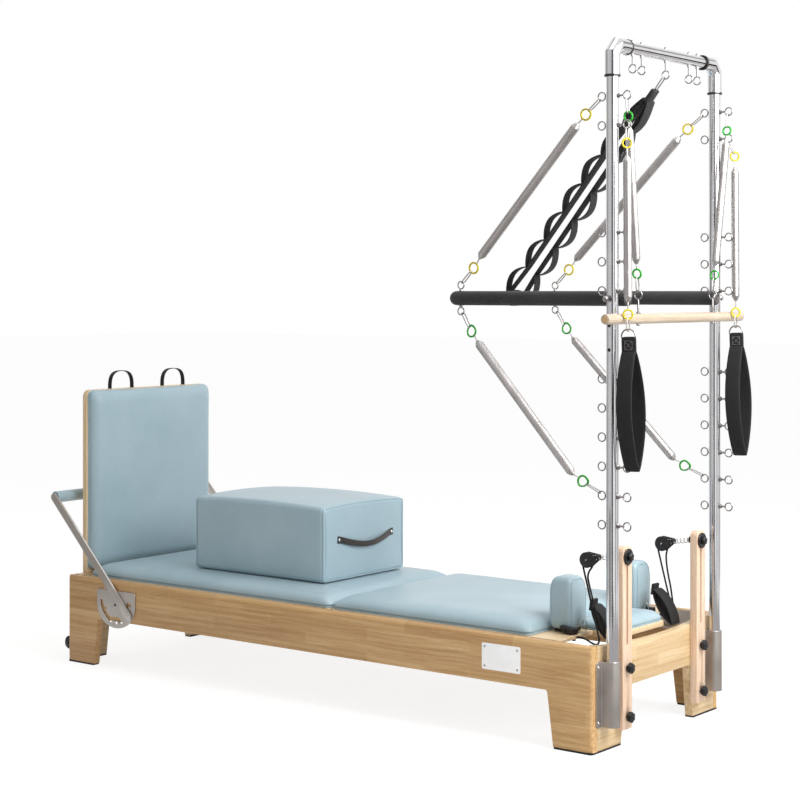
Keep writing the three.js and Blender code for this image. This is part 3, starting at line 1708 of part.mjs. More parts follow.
// One flat arm with round ends, from its tail past the pivot up to the roll.
function footbarArm(side) {
  const { pivotX, pivotZ, rollX, rollZ, tailX, tailZ, armWidth, armThickness, pinRadius } = footbar;
  const half = armWidth / 2;
  const roundEnd = (x, z, start) =>
    Array.from({ length: 6 }, (_, i) => {
      const turn = start + (Math.PI * i) / 5;
      return [x + half * Math.cos(turn), z + half * Math.sin(turn)];
    });
  const lean = Math.atan2(rollZ - tailZ, rollX - tailX);
  const outline = rounded([
    ...roundEnd(rollX, rollZ, lean - Math.PI / 2),
    ...roundEnd(tailX, tailZ, lean + Math.PI / 2),
  ]);
  const arm = slabXZ(outline, [armInner, armInner + armThickness]);
  const hole = rodY(boreFor(pinRadius), pivotX, [armInner - overrun, armInner + armThickness + overrun], pivotZ);
  const bored = cut(arm, hole);
  return side > 0 ? bored : mirrored(bored);
}

function footbarFrame() {
  const { rollX, rollZ, tubeRadius } = footbar;
  const reach = armInner + 1;
  return join(footbarArm(-1), footbarArm(1), rodY(tubeRadius, rollX, [-reach, reach], rollZ, 10));
}

function footbarPad() {
  const { rollX, rollZ, tubeRadius, padRadius } = footbar;
  const half = armInner - fit;
  const bore = (tubeRadius + fit) / Math.cos(Math.PI / 12);
  const round = padRadius / 8;
  const profile = [
    [bore, -half],
    [padRadius - round, -half],
    [padRadius, round - half],
    [padRadius, half - round],
    [padRadius - round, half],
    [bore, half],
    [bore, -half],
  ];
  return turned(profile, 12).rotateX(Math.PI / 2).translate(rollX, 0, rollZ);
}

// Assembly

const unit = new THREE.Group();

function place(name, geometry, material) {
  const mesh = new THREE.Mesh(geometryOf(solid(geometry)), material);
  mesh.name = name;
  unit.add(mesh);
}

const sides = [
  ["near", -1],
  ["far", 1],
];

place("tower_end_board", towerEndBoard(), ash);
place("foot_end_board", footEndBoard(), ash);
place("spring_bar", springAnchor(), zincSteel);
place("crossbar", crossbar(), chrome);
place("footbar_frame", footbarFrame(), zincSteel);
place("footbar_pad", footbarPad(), blueLeather);
place("push_through_tube", pushThroughTube(), zincSteel);
place("push_through_foam", pushThroughFoam(), blackFoam);
place("rolldown_bar", rolldownBar(), paleBeech);
place("safety_strap", safetyStrap(), blackWebbing);
place("carriage_board", carriageBoard(), plywood);
place("carriage_cushion", carriageCushion(), blueLeather);
place("carriage_springs", carriageSprings(), greySpring);
place("front_wheelset", wheelset(wheel.frontX), blackPlastic);
place("rear_wheelset", wheelset(wheel.rearX), blackPlastic);
place("headrest_board", headrestBoard(), plywood);
place("headrest_cushion", headrestCushion(), blueLeather);
place("mat_board", matBoard(), plywood);
place("mat_cushion", matCushion(), blueLeather);
place("sitting_box", sittingBox(), blueLeather);
place("box_handle_tower_end", boxHandle(1), blackWebbing);
place("box_handle_foot_end", boxHandle(-1), blackWebbing);
place("jump_board", jumpBoard(), plywood);
place("jump_pad", jumpPad(), blueLeather);

for (const [name, side] of sides) {
  place(`${name}_side_board`, sideBoard(side), ash);
  place(`${name}_track`, wheelTrack(side), aluminium);
  place(`${name}_upright`, upright(side), chrome);
  place(`${name}_elbow`, elbowSleeve(side), chrome);
  place(`${name}_tower_bracket`, towerBracket(side), aluminium);
  place(`${name}_riser_post`, riserPost(side), paleBeech);
  place(`${name}_pulley_carrier`, pulleyCarrier(side), blackPlastic);
  place(`${name}_sheave`, sheave(side), blackPlastic);
  place(`${name}_pulley_rope`, pulleyRope(side), blackRope);
  place(`${name}_strap_loop`, strapLoop(side), blackWebbing);
  place(`${name}_upper_spring`, barSpring(side, 1), greySpring);
  place(`${name}_lower_spring`, barSpring(side, -1), greySpring);
  place(`${name}_rolldown_spring`, rolldownSpring(side), greySpring);
  place(`${name}_hand_spring`, handSpring(side), greySpring);
  place(`${name}_hand_loop`, handLoop(side), blackWebbing);
  place(`${name}_shoulder_rest`, shoulderRest(side), blueLeather);
  place(`${name}_footbar_plate`, footbarPlate(side), zincSteel);
  place(`${name}_transport_wheel`, transportWheel(side * transport.y), rubber);
}

// The origin lies on the floor under the middle of the whole unit.
const extent = new THREE.Box3().setFromObject(unit);
const centre = extent.getCenter(new THREE.Vector3());
unit.position.set(-centre.x, -centre.y, -extent.min.z);
unit.updateMatrixWorld(true);

export default unit;
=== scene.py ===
import math

import bmesh
import bpy
import numpy as np
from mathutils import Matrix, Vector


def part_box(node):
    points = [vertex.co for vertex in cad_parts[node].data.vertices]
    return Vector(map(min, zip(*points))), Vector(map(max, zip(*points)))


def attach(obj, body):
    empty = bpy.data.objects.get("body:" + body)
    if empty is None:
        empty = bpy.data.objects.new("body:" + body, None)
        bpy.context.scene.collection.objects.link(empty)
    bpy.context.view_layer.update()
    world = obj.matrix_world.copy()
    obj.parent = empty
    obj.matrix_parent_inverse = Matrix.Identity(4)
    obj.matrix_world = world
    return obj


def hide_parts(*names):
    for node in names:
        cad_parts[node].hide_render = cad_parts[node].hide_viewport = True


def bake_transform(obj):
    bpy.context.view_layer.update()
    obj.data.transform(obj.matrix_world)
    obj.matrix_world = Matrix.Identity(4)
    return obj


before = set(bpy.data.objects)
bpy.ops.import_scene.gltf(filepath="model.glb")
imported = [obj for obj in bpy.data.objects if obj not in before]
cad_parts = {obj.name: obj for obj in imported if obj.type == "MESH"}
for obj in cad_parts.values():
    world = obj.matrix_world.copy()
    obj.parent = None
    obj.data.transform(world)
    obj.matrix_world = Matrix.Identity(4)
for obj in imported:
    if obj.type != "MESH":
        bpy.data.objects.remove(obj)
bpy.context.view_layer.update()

# Lengths below are millimetres from the middle of the wooden frame, as a maker measures it:
# +X to the tower, -Y to the near side, z = 0 on the floor.
SIDES = (("near", -1), ("far", 1))
board_low, board_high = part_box("near_side_board")
MIDDLE = np.array([(board_low[0] + board_high[0]) / 2, 0.0, 0.0])
HALF = 1150.0
WIDE = 394.5
UPRIGHT_X = 1177.0
UPRIGHT_Y = 322.0
CUSHION_TOP = 372.0
X, Y, Z = np.eye(3)


# Camera

def row_point(x, y, z):
    """A point in millimetres from the frame's middle, in metres in the row frame."""
    return MIDDLE + np.array([x, y, z], float) / 1000


camera = bpy.data.objects.new("camera", bpy.data.cameras.new("camera"))
bpy.context.scene.collection.objects.link(camera)
camera.location = row_point(4044, -5061, 1385)
camera.rotation_euler = (math.pi / 2, 0, math.radians(37.79))
camera.data.sensor_width = 36
camera.data.lens = 82.4
camera.data.shift_y = -0.1355
bpy.context.scene.camera = camera
bpy.context.scene.view_settings.view_transform = "Standard"


# Materials

def linear(code):
    """An sRGB hex colour as linear red, green, blue and full alpha."""
    value = np.array([int(code[i:i + 2], 16) for i in (1, 3, 5)]) / 255
    bright = ((value + 0.055) / 1.055) ** 2.4
    return (*np.where(value <= 0.04045, value / 12.92, bright).tolist(), 1.0)


def add(tree, kind, sockets=None, **settings):
    """Adds a node with its settings; a socket's entry is its value, or another node's output to link from."""
    node = tree.nodes.new(kind)
    for name, value in settings.items():
        setattr(node, name, value)
    for key, value in (sockets or {}).items():
        if isinstance(value, bpy.types.NodeSocket):
            tree.links.new(value, node.inputs[key])
        else:
            node.inputs[key].default_value = value
    return node


def start(name, roughness, metallic=0.0, **sockets):
    """A new material with one principled shader, set on its own sockets."""
    material = bpy.data.materials.new(name)
    material.use_nodes = True
    tree = material.node_tree
    tree.nodes.clear()
    shader = add(tree, "ShaderNodeBsdfPrincipled", {"Roughness": roughness, "Metallic": metallic})
    for key, value in sockets.items():
        shader.inputs[key.replace("_", " ").title()].default_value = value
    add(tree, "ShaderNodeOutputMaterial", {"Surface": shader.outputs[0]})
    return material, tree, shader


def place_on(tree, scale=(1, 1, 1), turn=(0, 0, 0)):
    """The object's own coordinates in metres, turned and then scaled."""
    coordinates = add(tree, "ShaderNodeTexCoord")
    return add(tree, "ShaderNodeMapping", {
        "Vector": coordinates.outputs["Object"], "Scale": scale, "Rotation": turn}).outputs[0]


def ramp(tree, factor, stops):
    """A colour ramp from (place, hex) pairs."""
    node = add(tree, "ShaderNodeValToRGB", {"Fac": factor})
    for i, (place, code) in enumerate(stops):
        stop = node.color_ramp.elements[i] if i < 2 else node.color_ramp.elements.new(place)
        stop.position = place
        stop.color = linear(code)
    return node.outputs["Color"]


def bumped(tree, shader, height, distance, strength):
    """Links a height to the shader's normal, over a distance in metres."""
    bump = add(tree, "ShaderNodeBump", {"Height": height, "Distance": distance, "Strength": strength})
    tree.links.new(bump.outputs[0], shader.inputs["Normal"])


def upholstery():
    """Pale blue upholstery vinyl: satin, embossed with a pebble of
    about 1.6 mm and creases of about 4 mm, with clouds of tone; darker in the low creases as painted shade."""
    material, tree, shader = start("upholstery_vinyl", 0.36, Sheen_weight=0.1, Sheen_roughness=0.4)
    place = place_on(tree)
    cloud = add(tree, "ShaderNodeTexNoise", {"Vector": place, "Scale": 5.0, "Detail": 3.0})
    pebble = add(tree, "ShaderNodeTexVoronoi", {"Vector": place, "Scale": 1 / 0.0016}, feature="SMOOTH_F1")
    crease = add(tree, "ShaderNodeTexNoise", {
        "Vector": place, "Scale": 1 / 0.004, "Detail": 4.0, "Roughness": 0.6})
    tone = ramp(tree, cloud.outputs["Fac"], [(0.3, "#9AB2BB"), (0.7, "#A6BCC5")])
    # The crease ramp is painted shade: the colour goes darker where the emboss is low and paler on its rises.
    grain = add(tree, "ShaderNodeMix", {
        0: 0.16, 6: tone, 7: ramp(tree, crease.outputs["Fac"], [(0.35, "#869DA7"), (0.65, "#B6C9D0")])},
        data_type="RGBA")
    tree.links.new(grain.outputs[2], shader.inputs["Base Color"])
    both = add(tree, "ShaderNodeMath", {0: pebble.outputs["Distance"], 1: crease.outputs["Fac"]},
               operation="ADD")
    bumped(tree, shader, both.outputs[0], 0.00022, 0.55)
    return material


def wood(name, grain_turn, tones, strip=None, roughness=0.42, fine=1.0, lacquer=0.15):
    """Lacquered wood: long streaks along the grain, fine pores, and glued strips of differing tone
    where it is built up. grain_turn brings the grain onto X and the face's other direction onto Y."""
    material, tree, shader = start(name, roughness, Coat_weight=lacquer, Coat_roughness=0.25)
    place = place_on(tree, turn=grain_turn)
    wander = add(tree, "ShaderNodeTexNoise", {"Vector": place, "Scale": 3.0, "Detail": 2.0})
    bent = add(tree, "ShaderNodeVectorMath", {0: place, 1: (1.6, 60, 60)}, operation="MULTIPLY")
    waved = add(tree, "ShaderNodeVectorMath", {0: bent.outputs[0], 1: wander.outputs["Color"]},
                operation="ADD")
    streak = add(tree, "ShaderNodeTexNoise", {
        "Vector": waved.outputs[0], "Scale": 1.6 * fine, "Detail": 6.0, "Roughness": 0.62})
    pores = add(tree, "ShaderNodeVectorMath", {0: place, 1: (60, 900, 900)}, operation="MULTIPLY")
    pore = add(tree, "ShaderNodeTexNoise", {"Vector": pores.outputs[0], "Scale": 1.0, "Detail": 2.0})
    colour = ramp(tree, streak.outputs["Fac"], list(zip((0.28, 0.5, 0.72), tones)))
    if strip:
        length, height = strip
        bricks = add(tree, "ShaderNodeTexBrick", {
            "Vector": place, "Color1": linear("#FFFFFF"), "Color2": linear("#CDB69A"),
            "Mortar": linear("#E2D2BA"), "Scale": 1.0, "Mortar Size": 0.0004, "Bias": -0.25,
            "Brick Width": length, "Row Height": height},
            offset=0.37, offset_frequency=2, squash=1.0)
        mixed = add(tree, "ShaderNodeMix", {0: 0.5, 6: colour, 7: bricks.outputs["Color"]},
                    data_type="RGBA", blend_type="MULTIPLY")
        colour = mixed.outputs[2]
    speck = add(tree, "ShaderNodeMix", {
        0: 0.14, 6: colour, 7: ramp(tree, pore.outputs["Fac"], [(0.36, "#7C5C38"), (0.52, "#FFFFFF")])},
        data_type="RGBA", blend_type="MULTIPLY")
    tree.links.new(speck.outputs[2], shader.inputs["Base Color"])
    bumped(tree, shader, pore.outputs["Fac"], 0.00012, 0.4)
    return material


def metal(name, pale, dark, roughness, size=0.06, rub=0.12):
    """Bare or plated metal: nearly even, with faint clouds where it is
    rubbed, which also change its gloss."""
    material, tree, shader = start(name, roughness, 1.0)
    place = place_on(tree)
    cloud = add(tree, "ShaderNodeTexNoise", {"Vector": place, "Scale": 1 / size, "Detail": 2.0})
    tree.links.new(ramp(tree, cloud.outputs["Fac"], [(0.3, dark), (0.7, pale)]), shader.inputs["Base Color"])
    gloss = add(tree, "ShaderNodeMapRange", {
        "Value": cloud.outputs["Fac"], 1: 0.3, 2: 0.7, 3: roughness * (1 - rub), 4: roughness * (1 + rub)})
    tree.links.new(gloss.outputs[0], shader.inputs["Roughness"])
    return material


def moulded(name, pale, dark, roughness, size, depth, sheen=0.0):
    """Moulded or foamed plastic and rubber: a dull skin with cells or a texture of the given size."""
    material, tree, shader = start(name, roughness, Sheen_weight=sheen, Sheen_roughness=0.5)
    place = place_on(tree)
    cells = add(tree, "ShaderNodeTexNoise", {
        "Vector": place, "Scale": 1 / size, "Detail": 5.0, "Roughness": 0.7})
    wear = add(tree, "ShaderNodeTexNoise", {"Vector": place, "Scale": 9.0, "Detail": 3.0})
    mixed = add(tree, "ShaderNodeMath", {0: cells.outputs["Fac"], 1: wear.outputs["Fac"]},
                operation="MULTIPLY")
    tree.links.new(ramp(tree, mixed.outputs[0], [(0.12, dark), (0.4, pale)]), shader.inputs["Base Color"])
    bumped(tree, shader, cells.outputs["Fac"], depth, 0.6)
    return material


def webbing(name, pale, dark):
    """Woven nylon webbing: ribs one way and finer threads the other, drawn a little coarse."""
    material, tree, shader = start(name, 0.8, Sheen_weight=0.08, Sheen_roughness=0.4)
    place = place_on(tree, turn=(0.3, 0.2, 0.78))
    ribs = add(tree, "ShaderNodeTexWave", {"Vector": place, "Scale": 1 / 0.009, "Distortion": 0.6},
               bands_direction="X")
    threads = add(tree, "ShaderNodeTexWave", {"Vector": place, "Scale": 1 / 0.006, "Distortion": 0.6},
                  bands_direction="Z")
    weave = add(tree, "ShaderNodeMath", {0: ribs.outputs["Fac"], 1: threads.outputs["Fac"]},
                operation="MULTIPLY")
    dust = add(tree, "ShaderNodeTexNoise", {"Vector": place, "Scale": 40.0, "Detail": 5.0})
    lifted = add(tree, "ShaderNodeMath", {0: weave.outputs[0], 1: dust.outputs["Fac"]}, operation="MULTIPLY")
    tree.links.new(ramp(tree, lifted.outputs[0], [(0.05, dark), (0.6, pale)]), shader.inputs["Base Color"])
    bumped(tree, shader, weave.outputs[0], 0.0003, 0.6)
    return material


def paint(name, pale, dark, roughness=0.5):
    """Enamel on wire or sheet: a smooth coloured coat with slight unevenness from dipping."""
    material, tree, shader = start(name, roughness)
    place = place_on(tree)
    runs = add(tree, "ShaderNodeTexNoise", {"Vector": place, "Scale": 60.0, "Detail": 3.0})
    tree.links.new(ramp(tree, runs.outputs["Fac"], [(0.3, dark), (0.7, pale)]), shader.inputs["Base Color"])
    bumped(tree, shader, runs.outputs["Fac"], 0.0002, 0.3)
    return material


ON_SIDE = (math.radians(-90), 0, 0)
ON_END = (0, math.radians(-90), math.radians(-90))
CROSSWAYS = (0, 0, math.radians(-90))
UPWARDS = (0, math.radians(90), 0)
VINYL = upholstery()
# Ash rails are glued up from strips 41 mm high and about 0.4 m long.
RAIL_ASH = wood("ash_side_rail", ON_SIDE, ("#B0854E", "#C9A16C", "#D8B785"), strip=(0.42, 0.041))
END_ASH = wood("ash_end_board", ON_END, ("#BE9C6B", "#D0B68D", "#DCC7A2"), strip=(0.36, 0.041))
POST_BEECH = wood("beech_riser", UPWARDS, ("#C9A68A", "#D9BBA0", "#E4CCB6"), fine=1.6)
BAR_BEECH = wood("beech_bar", CROSSWAYS, ("#A08C76", "#AC9C88", "#B9AC9B"), fine=1.8)
DARK_END = wood("beech_end_grain", UPWARDS, ("#B08B5E", "#C19C6D", "#CFAE82"), fine=3.0)
PLYWOOD = wood("birch_plywood", (0, 0, 0), ("#DDBB8E", "#EBD0A8", "#F3DFC0"), fine=1.3)
STANDING_PLY = wood("standing_plywood", UPWARDS, ("#D2AE80", "#E2C69C", "#EBD5B3"), fine=1.3)
# Chrome is plated over polished tube, so it mirrors the room; it reads as bright and dark bands.
CHROME = metal("chrome_plate", "#E4E4E6", "#D9D9DC", 0.1)
# Spring wire is drawn and plated: satin along the coil, a little warm.
SPRING_WIRE = metal("drawn_spring_wire", "#C4C0BE", "#B6B2B0", 0.4)
# Eyebolts, clips and rings are polished steel, darker than the plated tubes; the darkness is painted shade,
# their colour set low to stand for the dim room they mirror.
SHADE_DARKENED_STEEL = metal("polished_steel_painted_shade", "#A6A3A2", "#959190", 0.2)
STAINLESS = metal("brushed_stainless", "#C6C0BA", "#BBB5AF", 0.34)
BARE_ALUMINIUM = metal("anodised_aluminium", "#CBC5BF", "#BEB8B2", 0.42)
# Closed-cell foam has a dull skin with fine cells.
FOAM = moulded("neoprene_foam", "#353334", "#1E1D1E", 0.85, 0.0012, 0.00025, sheen=0.08)
NYLON = moulded("moulded_nylon", "#1F1E20", "#0E0E0F", 0.4, 0.0009, 0.00008)
RUBBER = moulded("black_rubber", "#262627", "#101011", 0.75, 0.0015, 0.00015)
ROPE = webbing("braided_rope", "#2C2B2E", "#0F0F10")
WEB = webbing("nylon_webbing", "#272525", "#0D0C0D")
BLACK_LEATHER = moulded("bridle_leather", "#3A322C", "#1C1714", 0.42, 0.0018, 0.0002, sheen=0.1)
YELLOW = paint("yellow_enamel", "#D0BE00", "#B5A200")
GREEN = paint("green_enamel", "#0BA60B", "#06860A")
STITCH = webbing("stitching_thread", "#8A8686", "#5A5657")
WHITE_PLATE = paint("white_enamel_plate", "#FFFFFF", "#FAFAFA", 0.4)


# Forms: each is (corners, [face arrays]) in millimetres

def grid(points, wrap_rows=False, wrap_columns=False):
    """A surface through rows and columns of points, one quad between each four neighbours."""
    rows, columns = points.shape[:2]
    index = np.arange(rows * columns).reshape(rows, columns)
    if wrap_rows:
        index = np.vstack([index, index[:1]])
    if wrap_columns:
        index = np.hstack([index, index[:, :1]])
    faces = np.stack([index[:-1, :-1], index[1:, :-1], index[1:, 1:], index[:-1, 1:]], -1).reshape(-1, 4)
    return points.reshape(-1, 3), [faces]


def merged(*forms):
    """Several forms as one."""
    corners, faces, at = [], [], 0
    for points, lists in forms:
        corners.append(points)
        faces += [one + at for one in lists]
        at += len(points)
    return np.vstack(corners), faces


def moved(form, by):
    """A form shifted by a vector."""
    return form[0] + np.asarray(by, float), form[1]


def turned_by(form, about, degrees, centre=(0, 0, 0)):
    """A form turned about an axis through a centre, by the right-hand rule."""
    angle = math.radians(degrees)
    axis = unit(np.asarray(about, float))
    away = form[0] - centre
    along = np.outer(away @ axis, axis)
    spun = along + (away - along) * math.cos(angle) + np.cross(axis, away) * math.sin(angle)
    return spun + centre, form[1]


def flipped(form, x=1, y=1, z=1):
    """A form with its coordinates multiplied by 1 or -1."""
    return form[0] * (x, y, z), form[1]


def unit(vectors):
    """Vectors brought to length one."""
    return vectors / np.linalg.norm(vectors, axis=-1, keepdims=True)


def circle(radius, sides):
    """A circle's points round the origin."""
    turn = np.linspace(0, 2 * np.pi, sides, endpoint=False)
    return radius * np.stack([np.cos(turn), np.sin(turn)], -1)


def flat_profile(width, thickness, power=6.0, sides=20):
    """A webbing's section, a superellipse: |a/w|^p + |b/t|^p = 1."""
    turn = np.linspace(0, 2 * np.pi, sides, endpoint=False)
    share = np.stack([np.cos(turn), np.sin(turn)], -1)
    size = (np.abs(share) ** power).sum(-1, keepdims=True) ** (-1 / power)
    return share * size * (width / 2, thickness / 2)


def arc(centre, radius, begin, end, count):
    """Points on an arc: centre + radius * (cos t, sin t), t running from begin to end."""
    turn = np.linspace(begin, end, count)
    return np.stack([centre[0] + radius * np.cos(turn), centre[1] + radius * np.sin(turn)], -1)


def carried(path, profile, across, closed=False, swell=None):
    """A profile carried along a path: path + a * across + b * (tangent x across),
    across kept square to the path. swell scales the profile at each point."""
    path = np.asarray(path, float)
    if closed:
        tangent = unit(np.roll(path, -1, 0) - np.roll(path, 1, 0))
    else:
        tangent = unit(np.gradient(path, axis=0))
    sideways = np.broadcast_to(np.asarray(across, float), path.shape)
    sideways = unit(sideways - (sideways * tangent).sum(-1, keepdims=True) * tangent)
    other = np.cross(tangent, sideways)
    size = np.ones(len(path)) if swell is None else np.asarray(swell, float)
    a = profile[None, :, 0, None] * size[:, None, None]
    b = profile[None, :, 1, None] * size[:, None, None]
    points = path[:, None] + a * sideways[:, None] + b * other[:, None]
    corners, faces = grid(points, wrap_rows=closed, wrap_columns=True)
    if not closed:
        around = len(profile)
        faces += [np.arange(around)[None], np.arange(len(corners) - around, len(corners))[None]]
    return corners, faces


def turned(profile, centre, axis=Z, sides=40, lobes=0, lobe_share=0.0):
    """A turned form: radius r and height h go round as centre + h * axis + r * (cos t, sin t), r lobed by
    1 + s cos nt."""
    profile = np.asarray(profile, float)
    axis = unit(np.asarray(axis, float))
    first = unit(np.cross(axis, Y if abs(axis[1]) < 0.9 else X))
    second = np.cross(axis, first)
    turn = np.linspace(0, 2 * np.pi, sides, endpoint=False)
    round_share = 1 + lobe_share * np.cos(lobes * turn)
    ring = (np.cos(turn) * round_share)[:, None] * first + (np.sin(turn) * round_share)[:, None] * second
    points = profile[:, 0, None, None] * ring[None] + (profile[:, 1, None] * axis)[:, None]
    return grid(points + np.asarray(centre, float), wrap_columns=True)


def both_ends(tip, levels=(), closed=False):
    """A turned profile alike at both ends: the tip, its last radius at the given levels,
    and the tip mirrored. A closed one comes back to its first point, round a bore."""
    tip = np.asarray(tip, float)
    middle = [(tip[-1, 0], level) for level in levels]
    return np.array([*tip, *middle, *(tip * (1, -1))[::-1], *(tip[:1] if closed else [])])


def rod(radius, start, end, edge=0.8, sides=32):
    """A round rod between two points, its end edges rounded in a quarter circle."""
    start, end = np.asarray(start, float), np.asarray(end, float)
    length = np.linalg.norm(end - start)
    turn = np.linspace(0, np.pi / 2, 4)
    low = np.stack([radius - edge + edge * np.sin(turn), edge - edge * np.cos(turn)], -1)
    high = np.stack([low[::-1, 0], length - low[::-1, 1]], -1)
    return turned(np.vstack([[0, 0], low, high, [0, length]]), start, end - start, sides)


def ball(radius, centre, squash=1.0, axis=Z, sides=24):
    """A ball, flattened along its axis by the squash."""
    turn = np.linspace(-np.pi / 2, np.pi / 2, 13)
    profile = np.stack([radius * np.cos(turn), radius * squash * np.sin(turn)], -1)
    profile[[0, -1], 0] = 0
    return turned(profile, centre, axis, sides)


def pipe(radius, bore, start, end, sides=48, edge=0.6):
    """A round tube with a wall, closed at its rims."""
    start, end = np.asarray(start, float), np.asarray(end, float)
    length = np.linalg.norm(end - start)
    profile = [[bore, edge], [bore + edge, 0], [radius - edge, 0], [radius, edge], [radius, length - edge],
               [radius - edge, length], [bore + edge, length], [bore, length - edge], [bore, edge]]
    return turned(profile, start, end - start, sides)


def hoop(radius, wire, centre, axis=Y, steps=36, sides=12):
    """A round wire ring about an axis."""
    axis = unit(np.asarray(axis, float))
    first = unit(np.cross(axis, Z if abs(axis[2]) < 0.9 else X))
    turn = np.linspace(0, 2 * np.pi, steps, endpoint=False)
    path = np.cos(turn)[:, None] * first + np.sin(turn)[:, None] * np.cross(axis, first)
    return carried(centre + radius * path, circle(wire, sides), axis, closed=True)


def smooth_line(points, steps):
    """A Catmull-Rom curve through points: on each stretch a cubic whose slope at
    a point is half the chord from the point before it to the point after it."""
    points = np.asarray(points, float)
    padded = np.vstack([2 * points[0] - points[1], points, 2 * points[-1] - points[-2]])
    a, b, c, d = padded[:-3], padded[1:-2], padded[2:-1], padded[3:]
    share = np.linspace(0, 1, steps, endpoint=False)[None, :, None]
    a, b, c, d = a[:, None], b[:, None], c[:, None], d[:, None]
    square, cube = 2 * a - 5 * b + 4 * c - d, 3 * b - a - 3 * c + d
    curve = 0.5 * (2 * b + (c - a) * share + square * share ** 2 + cube * share ** 3)
    return np.vstack([curve.reshape(-1, points.shape[1]), points[-1]])


def rounded_outline(corners, steps=6, spacing=None):
    """A closed outline through (a, b, radius) corners, each corner an arc that touches both its sides."""
    corners = [tuple(c) + (0,) * (3 - len(c)) for c in corners]
    line = []
    for i, (a, b, radius) in enumerate(corners):
        here = np.array([a, b], float)
        before = np.array(corners[i - 1][:2], float) - here
        after = np.array(corners[(i + 1) % len(corners)][:2], float) - here
        before, after = before / np.linalg.norm(before), after / np.linalg.norm(after)
        if radius <= 0:
            line.append(here[None])
            continue
        half = math.acos(np.clip(before @ after, -1, 1)) / 2
        reach = radius / math.tan(half)
        centre = here + (before + after) / np.linalg.norm(before + after) * radius / math.sin(half)
        first = here + before * reach - centre
        last = here + after * reach - centre
        spread = math.acos(np.clip(first @ last / radius ** 2, -1, 1))
        share = np.linspace(0, 1, steps + 1)[:, None]
        turning = np.sin((1 - share) * spread) * first + np.sin(share * spread) * last
        line.append(centre + turning / math.sin(spread))
    line = np.vstack(line)
    if spacing is None:
        return line
    following = np.roll(line, -1, 0)
    counts = np.maximum(1, np.ceil(np.linalg.norm(following - line, axis=1) / spacing).astype(int))
    return np.vstack([p + (q - p) * np.linspace(0, 1, n, endpoint=False)[:, None]
                      for p, q, n in zip(line, following, counts)])


def rectangle(low, high, radius, top_radius=None, narrow=0, steps=6, spacing=None):
    """A rectangle with round corners, those of its top perhaps rounder and drawn in."""
    top_radius = radius if top_radius is None else top_radius
    return rounded_outline([
        (low[0], low[1], radius), (high[0], low[1], radius), (high[0] - narrow, high[1], top_radius),
        (low[0] + narrow, high[1], top_radius)], steps, spacing)


def outward(outline):
    """The outline's mitred outward direction at each point, long enough
    to keep both sides at one distance."""
    before = unit(outline - np.roll(outline, 1, 0))
    after = unit(np.roll(outline, -1, 0) - outline)
    area = np.cross(outline, np.roll(outline, -1, 0)).sum()
    normal = np.stack([before[:, 1] + after[:, 1], -before[:, 0] - after[:, 0]], -1)
    normal = unit(normal) * np.sign(area)
    mitre = np.sqrt(np.clip((1 + (before * after).sum(-1)) / 2, 0.25, 1))
    return normal / mitre[:, None]


def board(outline, low, high, round_low=2.0, round_high=2.0, steps=4):
    """A flat board of an outline: towards each face the outline draws in by r (1 - sin
    t) while the level moves by r (1 - cos t), so its edges are rounded. The radii may
    differ from point to point. Faces are (a, b, level)."""
    outline = np.asarray(outline, float)
    out = outward(outline)
    low_r = np.broadcast_to(np.asarray(round_low, float), len(outline))
    high_r = np.broadcast_to(np.asarray(round_high, float), len(outline))
    turn = np.linspace(0, np.pi / 2, steps + 1)[:, None]
    low_inset, low_level = low_r * (1 - np.sin(turn)), low + low_r * (1 - np.cos(turn))
    high_inset, high_level = high_r * (1 - np.sin(turn[::-1])), high - high_r * (1 - np.cos(turn[::-1]))
    inset = np.vstack([low_inset, high_inset])[..., None]
    level = np.vstack([low_level, high_level])[..., None]
    points = np.concatenate([outline[None] - inset * out[None], level], -1)
    corners, faces = grid(points, wrap_columns=True)
    around = len(outline)
    return corners, faces + [np.arange(around)[None], np.arange(len(corners) - around, len(corners))[None]]


def laid(form, order):
    """A form whose (a, b, level) become x, y and z in the given order, such as "xzy"."""
    return form[0][:, [order.index(letter) for letter in "xyz"]], form[1]


def pierced(outline, holes, low, high, edge=0.6):
    """A flat plate with holes right through, its edges eased: a curve
    filled between its lines and given depth."""
    curve = bpy.data.curves.new("pierced", "CURVE")
    curve.dimensions, curve.fill_mode, curve.bevel_resolution = "2D", "BOTH", 1
    curve.extrude, curve.bevel_depth, curve.offset = (high - low) / 2 - edge, edge, -edge
    for line in (outline, *holes):
        spline = curve.splines.new("POLY")
        spline.points.add(len(line) - 1)
        places = np.column_stack([line, np.zeros(len(line)), np.ones(len(line))])
        spline.points.foreach_set("co", places.ravel())
        spline.use_cyclic_u = True
    holder = bpy.data.objects.new("pierced", curve)
    mesh = bpy.data.meshes.new_from_object(holder)
    corners = np.empty(len(mesh.vertices) * 3)
    mesh.vertices.foreach_get("co", corners)
    faces = [np.array([face.vertices[:]]) for face in mesh.polygons]
    bpy.data.objects.remove(holder)
    return corners.reshape(-1, 3) + (0, 0, (low + high) / 2), faces


def band(line, thickness):
    """A closed outline round an open line of 2D points, half the thickness to each side."""
    line = np.asarray(line, float)
    tangent = unit(np.gradient(line, axis=0))
    beside = np.stack([-tangent[:, 1], tangent[:, 0]], -1) * thickness / 2
    return np.vstack([line - beside, (line + beside)[::-1]])


